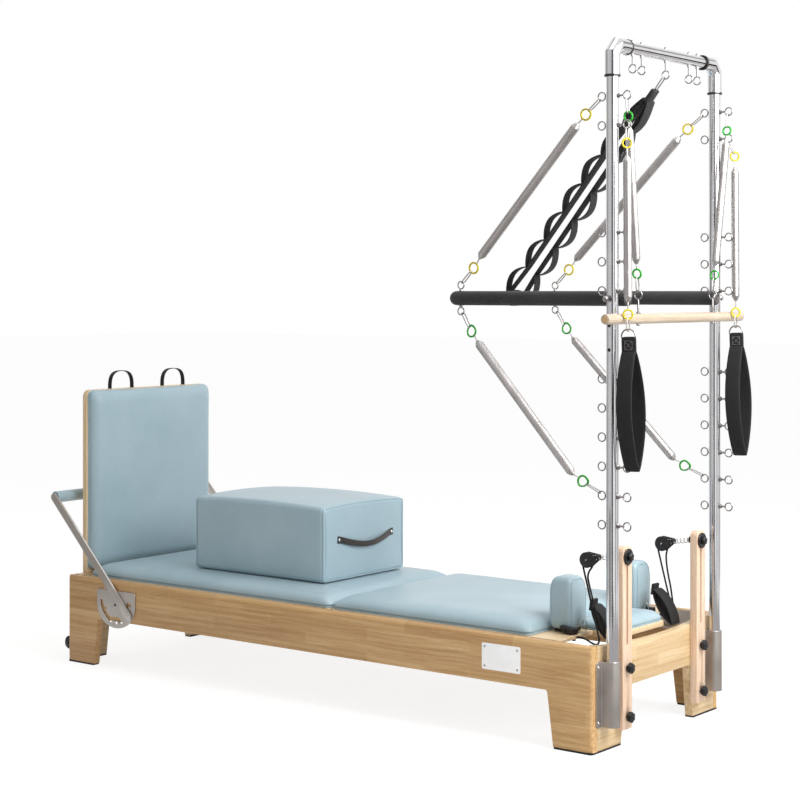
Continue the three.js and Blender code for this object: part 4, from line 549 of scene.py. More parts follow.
def rounded_block(low, high, radius, bulge=0.0, steps=5, spacing=40.0):
    """A block with round edges: each point q of the block's skin goes to c + r (q - c) / |q - c|, where
    c is q held inside the block less r all round. Each face may swell by bulge (1 - u^2)(1 - v^2)."""
    low, high = np.asarray(low, float), np.asarray(high, float)
    inner_low, inner_high = low + radius, high - radius
    near = radius * (1 - np.tan(np.linspace(np.pi / 4, 0, steps + 1)))

    def line(axis):
        """Places along an axis, close together over the round edges."""
        span = max(2, int((inner_high[axis] - inner_low[axis]) / spacing) + 1)
        middle = np.linspace(inner_low[axis], inner_high[axis], span + 1)[1:-1]
        return np.concatenate([low[axis] + near, middle, high[axis] - near[::-1]])

    sheets = []
    for axis in range(3):
        b, c = [i for i in range(3) if i != axis]
        u, v = np.meshgrid(line(b), line(c), indexing="ij")
        for end in (low, high):
            points = np.zeros(u.shape + (3,))
            points[..., axis], points[..., b], points[..., c] = end[axis], u, v
            held = np.clip(points, inner_low, inner_high)
            share_u = 2 * (u - low[b]) / (high[b] - low[b]) - 1
            share_v = 2 * (v - low[c]) / (high[c] - low[c]) - 1
            skin = held + radius * unit(points - held)
            swell = bulge * (1 - share_u ** 2) * (1 - share_v ** 2)
            skin[..., axis] += np.sign(end[axis] - (low[axis] + high[axis]) / 2) * swell
            sheets.append(grid(skin))
    return merged(*sheets)


def edge_line(half, soft, count, fine=9):
    """Places from -half to half, close together where the cushion's edge rolls over."""
    near = soft * (1 - np.cos(np.linspace(0, np.pi / 2, fine)))
    middle = np.linspace(-half + soft, half - soft, count + 2)[1:-1]
    return np.concatenate([-half + near, middle, half - near[::-1]])


def squared_to_round(x, y, half_x, half_y, corner):
    """Brings a rectangle's square corners onto arcs: in a corner (p, q) goes to (p sqrt(1 - q^2/2),
    q sqrt(1 - p^2/2))."""
    p = np.clip((np.abs(x) - (half_x - corner)) / corner, 0, 1)
    q = np.clip((np.abs(y) - (half_y - corner)) / corner, 0, 1)
    inside_x = np.minimum(np.abs(x), half_x - corner)
    inside_y = np.minimum(np.abs(y), half_y - corner)
    round_x = inside_x + corner * p * np.sqrt(1 - q ** 2 / 2)
    round_y = inside_y + corner * q * np.sqrt(1 - p ** 2 / 2)
    both = (p > 0) & (q > 0)
    return np.sign(x) * np.where(both, round_x, np.abs(x)), np.sign(y) * np.where(both, round_y, np.abs(y))


def cushion(half_x, half_y, height, corner=24, soft=70, lip=9, crown=4, pull=3, tuck=3, count=26):
    """A stuffed pad on z = 0. Above its lip the top rises as sqrt(1 - (1 - e/soft)^2) of the
    distance e to each side, the two sides multiplied, with a crown (cos x cos y)^0.6 over it; its
    sides draw in by pull (1 - x^4) between corners, and by the tuck in the middle of the lip."""
    xs, ys = edge_line(half_x, soft, count), edge_line(half_y, soft, count)
    x, y = np.meshgrid(xs, ys, indexing="ij")
    ease_x = 1 - np.clip((half_x - np.abs(x)) / soft, 0, 1)
    ease_y = 1 - np.clip((half_y - np.abs(y)) / soft, 0, 1)
    rise = np.sqrt(np.clip(1 - ease_x ** 2, 0, 1)) * np.sqrt(np.clip(1 - ease_y ** 2, 0, 1))
    fall_x, fall_y = (np.clip(np.cos(np.pi * at / (2 * half)), 0, 1)
                      for at, half in ((x, half_x), (y, half_y)))
    z = lip + (height - lip - crown) * rise + crown * fall_x ** 0.6 * fall_y ** 0.6
    px, py = squared_to_round(x, y, half_x, half_y, corner)
    top = np.stack([px, py, z], -1)
    edge = np.concatenate([top[:, 0], top[-1, 1:], top[-2::-1, -1], top[0, -2:0:-1]])
    share = np.array([0.0, 0.0, 0.5, 1.0, 0.6, 0.0])
    level = np.array([0.0, 0.06, 0.3, 0.5, 0.8, 1.0]) * lip
    centre_pull = 1 - tuck * np.stack([share, share], -1)[:, None] / np.array([half_x, half_y])
    heights = np.broadcast_to(level[:, None, None], (6, len(edge), 1))
    wall = np.concatenate([edge[None, :, :2] * centre_pull, heights], -1)
    corners, faces = merged(grid(top), grid(wall, wrap_columns=True))
    first = top.shape[0] * top.shape[1]
    faces.append(np.arange(first, first + len(edge))[None])
    sx, sy = corners[:, 0] / half_x, corners[:, 1] / half_y
    corners = corners.copy()
    corners[:, 0] *= 1 - pull / half_x * (1 - np.clip(np.abs(sy), 0, 1) ** 4)
    corners[:, 1] *= 1 - pull / half_y * (1 - np.clip(np.abs(sx), 0, 1) ** 4)
    return corners, faces


def wrinkled(form, amount, seed, size=120.0):
    """A slow unevenness: the sum of six seeded sine waves of about the
    given length moves each point along z."""
    rng = np.random.default_rng(seed)
    waves = rng.normal(size=(6, 2)) * 2 * np.pi / size
    phase = rng.uniform(0, 2 * np.pi, 6)
    points = form[0].copy()
    height = np.sin(points[:, :2] @ waves.T + phase).sum(1) * amount / 6
    share = np.clip(points[:, 2] / max(points[:, 2].max(), 1), 0, 1) ** 2
    points[:, 2] += height * share
    return points, form[1]


# Making pieces

def make(name, body, form, material, replaces=None, angle=38.0, bend=None):
    """Puts a form, or a list of forms, into one mesh: doubles merged, faces turned outwards,
    edges sharper than the angle kept sharp. A piece given a bend is left where it stands and joins
    no body; what the bend holds, a second body and two places, is not used."""
    corners, faces = merged(*form) if isinstance(form, list) else form
    mesh = bpy.data.meshes.new(name)
    mesh.from_pydata((corners / 1000 + MIDDLE).tolist(), [], [f for one in faces for f in one.tolist()])
    work = bmesh.new()
    work.from_mesh(mesh)
    bmesh.ops.remove_doubles(work, verts=work.verts, dist=2e-6)
    bmesh.ops.dissolve_degenerate(work, edges=work.edges, dist=1e-6)
    bmesh.ops.recalc_face_normals(work, faces=work.faces)
    work.to_mesh(mesh)
    work.free()
    mesh.polygons.foreach_set("use_smooth", [True] * len(mesh.polygons))
    mesh.set_sharp_from_angle(angle=math.radians(angle))
    mesh.materials.append(material)
    piece = bpy.data.objects.new(name, mesh)
    bpy.context.scene.collection.objects.link(piece)
    if bend:
        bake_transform(piece)
    else:
        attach(piece, body)
    if replaces:
        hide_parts(replaces)


def finish_cad(material, *nodes):
    """Gives CAD nodes that stay in view their real finish."""
    for name in nodes:
        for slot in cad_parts[name].material_slots:
            slot.material = material


# Small hardware

def screw_head(radius, centre, axis):
    """A domed screw head with a cross recess drawn as a dimple."""
    turn = np.linspace(0, np.pi / 2, 6)
    dome = np.stack([radius * np.cos(turn), 0.45 * radius * np.sin(turn)], -1)
    dimple = [[0.3 * radius, 0.4 * radius], [0.15 * radius, 0.25 * radius], [0, 0.22 * radius]]
    return turned(np.vstack([[0, -0.5], [radius, -0.5], dome[:-1], dimple]), centre, axis, 20)


def hex_nut(radius, thickness, centre, axis):
    """A six-sided nut, chamfered at both faces."""
    flat = radius * 0.92
    profile = [[0, 0], [flat, 0], [radius, 0.12 * thickness], [radius, 0.88 * thickness], [flat, thickness],
               [0, thickness]]
    return turned(profile, centre, axis, 6)


def washer(radius, thickness, centre, axis, dome=0.0, sides=24):
    """A flat washer or cap, higher in its middle by the dome."""
    return turned([[0, 0], [radius, 0], [radius, thickness], [0, thickness + dome]], centre, axis, sides)


def shank(start, end):
    """The straight shank of an eye, 6 mm across."""
    return rod(3, start, end, 0.4, 16)


def star_knob(centre, radius, length, lobes=6):
    """A moulded clamping knob along X with lobes, a domed face and a collar behind it."""
    shape = np.array([[0, 0], [0.75, 0], [0.9, 0.12], [0.93, 0.3], [0.93, 0.7], [0.86, 0.88], [0.6, 1],
                      [0, 1.02]])
    return turned(shape * (radius, length), centre, X, 60, lobes, 0.075)


# Wooden frame

BOARD = 30.0
RAIL_TOP = 323.0
ARCH_TOP, ARCH_CORNER = 175.0, 9.0
LEG_LOW = 5.5
RAIL_LEG_LOW, RAIL_LEG_HIGH = HALF - 139, HALF - 161
END_LEG_LOW, END_LEG_HIGH = WIDE - 169, WIDE - 190
PAD_X, PAD_INNER_X, PAD_Y, PAD_TOP = HALF - 137, HALF - 31, WIDE - 168, 6.2
TRANSPORT_X, TRANSPORT_Y, TRANSPORT_Z = -1195.0, 340.0, 57.0
PLATE_LOW, PLATE_HIGH = (749, 211), (893, 293)


def side_rail():
    """The near side board on its own legs: its top outer edge has a
    radius of 18 and its upright corners 12."""
    outline = rounded_outline([
        (-HALF, LEG_LOW), (-RAIL_LEG_LOW, LEG_LOW), (-RAIL_LEG_HIGH, ARCH_TOP, ARCH_CORNER),
        (RAIL_LEG_HIGH, ARCH_TOP, ARCH_CORNER), (RAIL_LEG_LOW, LEG_LOW), (HALF, LEG_LOW), (HALF, RAIL_TOP),
        (-HALF, RAIL_TOP)], spacing=22)
    at_top = outward(outline)[:, 1] > 0.7
    at_end = np.abs(outline[:, 0]) > HALF - 1
    outer = np.where(at_top, 18.0, np.where(at_end, 12.0, 2.5))
    outer = np.where((outline[:, 1] > RAIL_TOP - 1) & at_end, 14.0, outer)
    inner = np.where(at_top, 9.0, np.where(at_end, 0.3, 1.5))
    return laid(board(outline, -WIDE, -WIDE + BOARD, outer, inner, steps=6), "xzy")


def end_board(dip):
    """An end board between the rails, with tapered legs; its top edge dips as sin^0.8 in the middle."""
    edge = WIDE - BOARD - 0.3
    step = 160
    share = np.linspace(0, 1, 41)
    top = np.stack([edge - 2 * edge * share, RAIL_TOP - dip * np.sin(np.pi * share) ** 0.8], -1)
    low = rounded_outline([
        (-edge, LEG_LOW), (-END_LEG_LOW, LEG_LOW), (-END_LEG_HIGH, ARCH_TOP, ARCH_CORNER),
        (END_LEG_HIGH, ARCH_TOP, ARCH_CORNER), (END_LEG_LOW, LEG_LOW), (edge, LEG_LOW)])
    return np.vstack([low, [[edge, step]], top, [[-edge, step]]])


def foot_pad(end, side):
    """A rubber pad in the plan of a corner's two legs."""
    plan = [(HALF, WIDE, 10), (PAD_X, WIDE, 3), (PAD_X, WIDE - BOARD, 3), (PAD_INNER_X, WIDE - BOARD, 1),
            (PAD_INNER_X, PAD_Y, 3), (HALF, PAD_Y, 3)]
    corners = [(end * x, side * y, radius) for x, y, radius in plan]
    return board(rounded_outline(corners, steps=4), 0, PAD_TOP, 0.8, 0.8)


for name, side in SIDES:
    make(f"{name}_rail", "base", flipped(side_rail(), y=-side), RAIL_ASH, f"{name}_side_board",
         angle=50)
    for end, label in ((-1, "foot"), (1, "tower")):
        make(f"{name}_{label}_foot_pad", "base", foot_pad(end, side), RUBBER)
finish_cad(BARE_ALUMINIUM, "near_track", "far_track")
finish_cad(STAINLESS, "spring_bar")

for name, way, dip in (("tower_end_board", 1, 23), ("foot_end_board", -1, 0)):
    form = flipped(laid(board(end_board(dip), HALF - BOARD, HALF), "yzx"), x=way)
    make(name + "_wood", "base", form, END_ASH, name, angle=50)

# Transport wheels turn on an axle between two ears behind the foot end.
EAR = rounded_outline([(-HALF + 1, 42), (-HALF + 1, 72), (-1210, 72, 10), (-1210, 42, 10)])
TYRE = [[5.3, -11], [14, -11], [16, -9.5], [21, -11], [24, -8.5], [25, -5]]
for name, side in SIDES:
    hub = np.array([TRANSPORT_X, side * TRANSPORT_Y, TRANSPORT_Z])
    parts = []
    for way in (-1, 1):
        at = hub[1] + way * 13.8
        parts.append(laid(board(EAR, at - 2.5, at + 2.5, 0.6, 0.6), "xzy"))
    parts.append(rod(4.9, hub - 20 * Y, hub + 20 * Y))
    parts += [screw_head(5, hub + way * 18 * Y, way * Y) for way in (-1, 1)]
    make(f"{name}_transport_ears", "base", parts, NYLON)
    make(f"{name}_transport_tyre", f"{name}_wheel", turned(both_ends(TYRE, closed=True), hub, Y, 48), RUBBER,
         f"{name}_transport_wheel")

# A bare white enamelled plate on the near board, with a screw in each corner.
plate = board(rectangle(PLATE_LOW, PLATE_HIGH, 5), -WIDE - 1.6, -WIDE + 0.2, 0.5, 0.1)
make("side_plate", "base", laid(plate, "xzy"), WHITE_PLATE)
screws = [screw_head(4, (x, -WIDE - 1.4, z), -Y) for x in (PLATE_LOW[0] + 11, PLATE_HIGH[0] - 11)
          for z in (PLATE_LOW[1] + 11, PLATE_HIGH[1] - 11)]
make("side_plate_screws", "base", screws, STAINLESS)


# Tower

TUBE, BORE = 19.0, 16.5
SLEEVE, SLEEVE_BORE = 23.0, 19.2
CROSSBAR_Z = 2128.0
UPRIGHT_LOW, UPRIGHT_HIGH = 80.0, CROSSBAR_Z - 39
CROSSBAR_HALF = 283.5
EYE_ROWS = [682 + 88 * k for k in range(6)] + [1387, 1475, 1563, 1885, 1973]
TOP_EYES = (-203, -148.5, 0, 148.5, 203)
TOP_EYE_Z = 2066.0
EYE_RING, EYE_WIRE = 12.8, 2.1
EYE_FRONT, EYE_BACK = UPRIGHT_X + 51, UPRIGHT_X - 37
BRACKET_LOW, BRACKET_HIGH, BRACKET_HALF = 77.0, 274.0, 52.5
BRACKET_FACE = HALF + 4.3
SIN_22, COS_22 = 0.3827, 0.9239


def eyebolt(y, z):
    """An eyebolt through an upright: a ring tight behind the tube, a
    neck through it and a ring on it in front."""
    return [
        hoop(EYE_RING, EYE_WIRE, (EYE_FRONT, y, z)), hoop(EYE_RING, EYE_WIRE, (EYE_BACK, y, z)),
        shank((EYE_BACK + 11, y, z), (EYE_FRONT - 11, y, z)),
        hex_nut(6.8, 6.5, (UPRIGHT_X + 18.6, y, z), X),
        washer(8, 1.2, (UPRIGHT_X + 18.2, y, z), X), washer(5.5, 2, (UPRIGHT_X - 20.5, y, z), X)]


def top_eye(y):
    """An eye that hangs under the crossbar, its shank through the tube
    with a nut below and a domed nut above."""
    return [
        hoop(EYE_RING, EYE_WIRE, (UPRIGHT_X, y, TOP_EYE_Z)),
        shank((UPRIGHT_X, y, 2077), (UPRIGHT_X, y, 2149)),
        hex_nut(6.4, 4, (UPRIGHT_X, y, 2146.6), Z), ball(5, (UPRIGHT_X, y, 2150), 0.95),
        hex_nut(6.4, 5, (UPRIGHT_X, y, 2103.6), Z)]


def mitred_sleeve(side):
    """The corner sleeve: a round section along a mitred line, longer by
    1 / cos(22.5 degrees) at the two bends."""
    line = np.array([(UPRIGHT_Y, 2035), (UPRIGHT_Y, 2089.6), (UPRIGHT_Y, 2102), (296, CROSSBAR_Z),
                     (283.6, CROSSBAR_Z), (240, CROSSBAR_Z)])
    mitre = 1 / math.cos(math.pi / 8)
    share = np.array([1, 1, mitre, mitre, 1, 1])
    path = np.stack([np.full(6, UPRIGHT_X), side * line[:, 0], line[:, 1]], -1)
    tangent = np.array([(0, 1), (0, 1), (-SIN_22, COS_22), (-COS_22, SIN_22), (-1, 0), (-1, 0)])
    ring = circle(1, 48)
    across = np.stack([np.zeros(6), side * tangent[:, 1], -tangent[:, 0]], -1) * share[:, None]
    around = ring[None, :, 0, None] * X + ring[None, :, 1, None] * across[:, None]
    walls = [path[:, None] + radius * around for radius in (SLEEVE, SLEEVE_BORE)]
    return grid(np.concatenate([walls[0], walls[1][::-1]]), wrap_rows=True, wrap_columns=True)


def tower_bracket(y):
    """A flat flange against the end board with a channel folded round the tube."""
    flange = rectangle((y - BRACKET_HALF, BRACKET_LOW), (y + BRACKET_HALF, BRACKET_HIGH), 9)
    fold = np.vstack([[(1153, y - 27)], [(1156, y - 22.6)],
                      arc((UPRIGHT_X, y), 21.3, -np.pi / 2, np.pi / 2, 25),
                      [(1156, y + 22.6)], [(1153, y + 27)]])
    return [laid(board(flange, HALF + 0.3, BRACKET_FACE, 0.2, 0.9), "yzx"),
            board(band(fold, 4), BRACKET_LOW, BRACKET_HIGH, 0.8, 0.8)]


for name, side in SIDES:
    y = side * UPRIGHT_Y
    make(f"{name}_upright_tube", "base",
         pipe(TUBE, BORE, (UPRIGHT_X, y, UPRIGHT_LOW), (UPRIGHT_X, y, UPRIGHT_HIGH)),
         CHROME, f"{name}_upright")
    make(f"{name}_upright_eyebolts", "base", [part for z in EYE_ROWS for part in eyebolt(y, z)], SHADE_DARKENED_STEEL)
    make(f"{name}_corner_sleeve", "base", mitred_sleeve(side), CHROME, f"{name}_elbow", angle=25)
    rings = [pipe(24.6, SLEEVE_BORE, (UPRIGHT_X, y, 2031), (UPRIGHT_X, y, 2038), edge=1.2),
             pipe(24.6, SLEEVE_BORE, (UPRIGHT_X, side * 234, CROSSBAR_Z), (UPRIGHT_X, side * 241, CROSSBAR_Z),
                  edge=1.2)]
    make(f"{name}_sleeve_rings", "base", rings, NYLON)
    plugs = [rod(5.5, (UPRIGHT_X, y + side * 12, z), (UPRIGHT_X, y + side * 19.9, z), 0.6, 20)
             for z in (1283, 1210)]
    make(f"{name}_hole_plugs", "base", plugs, NYLON)
    make(f"{name}_bracket_plate", "base", tower_bracket(y), BARE_ALUMINIUM,
         f"{name}_tower_bracket", angle=50)
    bolts = [screw_head(5.2, (BRACKET_FACE, y + way * 42, z), X) for way in (-1, 1)
             for z in (BRACKET_LOW + 15, BRACKET_HIGH - 15)]
    make(f"{name}_bracket_bolts", "base", bolts, CHROME)

make("crossbar_tube", "base",
     pipe(TUBE, BORE, (UPRIGHT_X, -CROSSBAR_HALF, CROSSBAR_Z), (UPRIGHT_X, CROSSBAR_HALF, CROSSBAR_Z)),
     CHROME, "crossbar")
make("crossbar_eyebolts", "base", [part for y in TOP_EYES for part in top_eye(y)], SHADE_DARKENED_STEEL)


# Riser posts and their pulleys

RISER_Y = 232.0
RISER_BACK, RISER_FRONT = 1150.3, 1176.3
RISER_LOW, RISER_HIGH, RISER_HALF = 53.0, 609.0, 27.5
SLOT_LOW, SLOT_HIGH, SLOT_HALF = 309.0, 586.0, 4.5
KNOB_LEVELS = (91, 240)
CARRIER_Z = 578.0
SHEAVE_X, SHEAVE_Z = 1034.0, 556.0
NOSE_X, NOSE_Z = 1070.0, 567.0
COIL_START, COIL_END = (1135.3, 576), (1079, NOSE_Z)
COIL_TURNS = 4.5
# Turned profiles of the carrier: the boss behind a post's knob, the
# flange in front of the post and the guide behind.
KNOB_BOSS = [[0, 0], [9, 0], [8, 6], [0, 6]]
FLANGE = [[0, 0], [24, 0], [25, 1], [25, 4.5], [23.5, 6], [0, 6]]
GUIDE = [[0, 0], [9.4, 0], [10, 1], [10, 15], [9, 16], [0, 16]]
# The rope's stretch from the deck up over the wheel, and its fall down to the deck on each side. From
# the block the near rope's back fall lies beside its front fall; the far rope's hangs a little apart.
ROPE_RISE = [
    (1005.6, 250, 316), (1022, 250, 317), (1040, 248, 312), (1056, 244, 303), (1070, 239, 299),
    (1077, 235, 312), (1066, 233, 352), (1049, 232, 415), (1031, 232, 482), (1014, 232, 548),
    (1015, 232, 565), (1025, 232, 575), (1038, 232, 576.5), (1050, 232, 570), (1055, 232, 556)]
ROPE_FALLS = {
    "near": [(1050, 232, 536), (1039, 232, 520), (1034, 231, 503), (1037, 230, 484), (1045, 230, 455),
             (1057, 230, 415), (1072, 225, 360), (1084, 217.3, 326), (1091, 213.1, 314)],
    "far": [(1051, 232, 537), (1047, 232, 515), (1050, 231, 485), (1057, 230, 450), (1065, 230, 415),
            (1076, 225, 365), (1085, 218, 328), (1091, 213.1, 314)]}
ROPE_BEND_LOW, ROPE_BEND_HIGH = (1070, 335), (1045, 530)
STRAP_Y = 190.0
STRAP_HIGH, STRAP_LOW, STRAP_SWELL = (1036, 412), (1104, 306), 16.0


def riser_half(way):
    """Half of the slotted post, so that the slot stays open: the other half meets it on the middle line."""
    outline = rounded_outline([
        (0, RISER_LOW), (way * RISER_HALF, RISER_LOW, 2), (way * RISER_HALF, RISER_HIGH, 18), (0, RISER_HIGH),
        (0, SLOT_HIGH), (way * SLOT_HALF, SLOT_HIGH, 4), (way * SLOT_HALF, SLOT_LOW, 4), (0, SLOT_LOW)],
        steps=8)
    middle = np.abs(outline[:, 0]) < 0.01
    return board(outline, RISER_BACK, RISER_FRONT, np.where(middle, 0.0, 2.0), np.where(middle, 0.0, 2.5))


def leaf(high, low, half):
    """A closed leaf in x and z between two points, its half thickness going as sin^0.7 of the way along."""
    share = np.linspace(0, 1, 25)
    high, low = np.array(high, float), np.array(low, float)
    along = low - high
    beside = unit(np.array([-along[1], along[0]]))
    middle = high + share[:, None] * along
    swell = (half * np.sin(np.pi * share) ** 0.7)[:, None] * beside
    return np.vstack([middle + swell, (middle - swell)[-2:0:-1]])


def block_cheek(y):
    """A pulley block's teardrop cheek: a large arc round the wheel and a small one at the nose."""
    tilt = math.atan2(COIL_END[1] - SHEAVE_Z, COIL_END[0] - SHEAVE_X)
    outline = np.vstack([arc((SHEAVE_X, SHEAVE_Z), 24.4, np.pi / 3 + tilt, np.pi * 5 / 3 + tilt, 28),
                         arc((NOSE_X, NOSE_Z), 9, tilt - np.pi / 3, tilt + np.pi / 3, 10)])
    return laid(board(outline, y - 1.5, y + 1.5, 0.7, 0.7), "xzy")


def riser_coil(y):
    """The open spring between post and block: a helix of radius 7.5 round the line from one to the other."""
    turns = np.linspace(0, COIL_TURNS * 2 * np.pi, 160)
    start_point = np.array([COIL_START[0], y, COIL_START[1]])
    run = np.array([COIL_END[0], y, COIL_END[1]]) - start_point
    along = unit(run)
    round_line = np.cos(turns)[:, None] * Y + np.sin(turns)[:, None] * np.cross(along, Y)
    coil = start_point + run * (turns / turns[-1])[:, None] + 7.5 * round_line
    return carried(coil, circle(1.3, 10), along)


def pulley_block(y):
    """The block on its carrier: a flange and a knob clamp it to the
    post, and two cheeks hold the wheel's pin."""
    hub = np.array([SHEAVE_X, y, SHEAVE_Z])
    return [rod(3.5, (1149, y, CARRIER_Z), (1178, y, CARRIER_Z)),
            turned(FLANGE, (1176.6, y, CARRIER_Z), X, 48), star_knob((1182.4, y, CARRIER_Z), 13, 11.8, 5),
            turned(GUIDE, (1134, y, CARRIER_Z), X, 32), block_cheek(y - 8.3), block_cheek(y + 8.3),
            rod(3.5, hub - 10 * Y, hub + 10 * Y),
            rounded_block((1066, y - 7.5, 559), (1079.5, y + 7.5, 575), 2.5, spacing=10),
            screw_head(6.2, hub - 9.8 * Y, -Y), screw_head(6.2, hub + 9.8 * Y, Y)]


def sheave():
    """The rope wheel: its groove is a hollow that goes as cos^0.8 over 8 mm."""
    groove = np.linspace(0.5, -0.5, 13)
    bowl = np.stack([22 - 5.6 * np.cos(np.pi * groove) ** 0.8, -groove * 8], -1)
    return np.vstack([[3.8, -6.5], [21.4, -6.5], [22, -5.9], bowl, [22, 5.9], [21.4, 6.5], [3.8, 6.5],
                      [3.8, -6.5]])


def riser_strap(y):
    """The foot strap that lies folded at the rope's end: a leaf of webbing and the tab that it hangs by."""
    line = leaf(STRAP_HIGH, STRAP_LOW, STRAP_SWELL)
    path = np.stack([line[:, 0], np.full(len(line), y), line[:, 1]], -1)
    tab = rounded_block((1024, y - 18, 394), (1034, y + 18, 430), 2.5, spacing=20)
    return [carried(path, flat_profile(54, 4.2), Y, closed=True), turned_by(tab, Y, 8, (1030, 0, 412))]


for name, side in SIDES:
    y = side * RISER_Y
    body = f"{name}_pulley"
    post = [moved(laid(riser_half(way), "yzx"), (0, y, 0)) for way in (-1, 1)]
    make(f"{name}_riser_wood", "base", post, POST_BEECH, f"{name}_riser_post", angle=50)
    knobs = []
    for z in KNOB_LEVELS:
        knobs += [turned(KNOB_BOSS, (1176, y, z), X, 30), star_knob((1181, y, z), 17, 15),
                  ball(4, (1196, y, z), 0.5, X)]
    make(f"{name}_riser_knobs", "base", knobs, NYLON)
    make(f"{name}_riser_spring", body, riser_coil(y), SPRING_WIRE)
    make(f"{name}_pulley_block", body, pulley_block(y), NYLON, f"{name}_pulley_carrier",
         angle=45)
    make(f"{name}_pulley_sheave", f"{name}_pulley_wheel", turned(sheave(), (SHEAVE_X, y, SHEAVE_Z), Y, 48),
         RUBBER, f"{name}_sheave")
    route = smooth_line([(px, side * py, pz) for px, py, pz in ROPE_RISE + ROPE_FALLS[name]], 7)
    low, high = ((x, y, z) for x, z in (ROPE_BEND_LOW, ROPE_BEND_HIGH))
    make(f"{name}_rope", "base", carried(route, circle(3, 14), Y), ROPE, f"{name}_pulley_rope",
         bend=(body, low, high))
    make(f"{name}_riser_strap", "base", riser_strap(side * STRAP_Y), WEB,
         f"{name}_strap_loop")
    rivets = [screw_head(3.4, (SHEAVE_X, y + way * 12.0, SHEAVE_Z), way * Y) for way in (-1, 1)]
    rivets += [screw_head(2.3, (x, y + way * 9.7, z), way * Y) for way in (-1, 1)
               for x, z in ((1060, 572), (1068, 573), (1071, 561))]
    make(f"{name}_pulley_rivets", body, rivets, SHADE_DARKENED_STEEL)


# Push-through bar

BAR_X, BAR_Y, BAR_Z = 556.0, 278.0, 1364.0
BAR_END_X = 1205.0
BAR_CORNER = 24.0
FOAM_RADIUS = 23.0
BAR_EYE_X, BAR_EYE_RISE, BAR_EYE_RING = 584.0, 42.0, 12.0
BOLT_CAP = [[0, 0], [10, 0], [10.5, 0.5], [10.5, 1.5], [0, 2]]


def bar_line():
    """The bar's middle line: two arms and the outer bar, joined by quarter circles."""
    turn = np.linspace(0, np.pi / 2, 15)
    corner = np.stack([BAR_X + BAR_CORNER * (1 - np.sin(turn)), BAR_Y - BAR_CORNER * (1 - np.cos(turn)),
                       np.full(15, BAR_Z)], -1)
    arm = np.stack([np.linspace(BAR_END_X, 612, 12), np.full(12, BAR_Y), np.full(12, BAR_Z)], -1)
    half = np.vstack([arm, corner, [[BAR_X, 150, BAR_Z], [BAR_X, 60, BAR_Z]]])
    return np.vstack([half, (half * (1, -1, 1))[::-1]])


def bar_hardware(side):
    """At one arm: the bolt through the upright with its ball and caps,
    and the eyes above and below the arm."""
    y = side * BAR_Y
    parts = [rod(5, (UPRIGHT_X, side * 300, BAR_Z), (UPRIGHT_X, side * 356, BAR_Z), 0.4, 24),
             ball(9.4, (UPRIGHT_X, side * 362, BAR_Z), 1.0, Y, 32),
             turned(BOLT_CAP, (UPRIGHT_X, side * 341.2, BAR_Z), side * Y, 32),
             washer(11, 1.2, (UPRIGHT_X, side * 301, BAR_Z), side * Y, 0.2, 32)]
    for way in (-1, 1):
        parts += [hoop(BAR_EYE_RING, EYE_WIRE, (BAR_EYE_X, y, BAR_Z + way * BAR_EYE_RISE)),
                  shank((BAR_EYE_X, y, BAR_Z + way * 21), (BAR_EYE_X, y, BAR_Z + way * 31)),
                  washer(8, 1.4, (BAR_EYE_X, y, BAR_Z + way * 22.6), way * Z, 0.2),
                  hex_nut(6.2, 4, (BAR_EYE_X, y, BAR_Z + way * 23.6), way * Z)]
    return parts


make("push_through_sleeve", "push_through_bar", carried(bar_line(), circle(FOAM_RADIUS, 40), Z), FOAM,
     "push_through_foam")
parts = [pipe(15, 12, (1150, side * BAR_Y, BAR_Z), (1206.5, side * BAR_Y, BAR_Z)) for side in (-1, 1)]
parts += [rod(14.6, (1200, side * BAR_Y, BAR_Z), (1208, side * BAR_Y, BAR_Z), 2.0) for side in (-1, 1)]
make("push_through_fittings", "push_through_bar", parts + bar_hardware(-1) + bar_hardware(1), SHADE_DARKENED_STEEL,
     "push_through_tube")


# Springs: a close-wound body with tapered ends, a coloured ring and a wire clip at each end

ROLLDOWN_X, ROLLDOWN_Z = UPRIGHT_X + 38.5, 1303.0
ROLLDOWN_EYE_Y, ROLLDOWN_EYE_Z, ROLLDOWN_EYE_RING = 236.0, 1375.0, 13.0
HAND_EYE_Z = 1885.0
HAND_Y = 342.0
SPRING_RADIUS, SPRING_RING, SPRING_RING_WIRE = 12.4, 13.8, 3.0
ARM_SPRING_RADIUS, ARM_RING, ARM_RING_WIRE, ARM_CLIP = 14.2, 17.0, 3.1, 54.0
# How far along a hung spring its rings and its body's ends lie, and which of its four drops each place takes.
SAG_PLACE_SHARES = (0.01, 0.085, 0.12, 0.14, 0.86, 0.88, 0.915, 0.99)


def wound_body(low, high, radius, neck=4.0, taper=16.0, pitch=2.6, sides=22):
    """A close-wound spring along Z: its radius tapers to the neck over its last turns, and between
    two turns it is 0.005 mm less, |cos| of the height over the pitch, winding round as it climbs."""
    height = np.linspace(low, high, int((high - low) / pitch * 2))
    share = np.clip(np.minimum(height - low, high - height) / taper, 0, 1)
    turn = np.linspace(0, 2 * np.pi, sides, endpoint=False)
    ridge = 0.005 * (np.abs(np.cos(np.pi * height[:, None] / pitch - turn[None] / 2)) - 1)
    r = (neck + (radius - neck) * share ** 0.8)[:, None] + ridge
    points = np.stack([r * np.cos(turn), r * np.sin(turn), np.broadcast_to(height[:, None], r.shape)], -1)
    corners, faces = grid(points, wrap_columns=True)
    return corners, faces + [np.arange(sides)[None], np.arange(len(corners) - sides, len(corners))[None]]


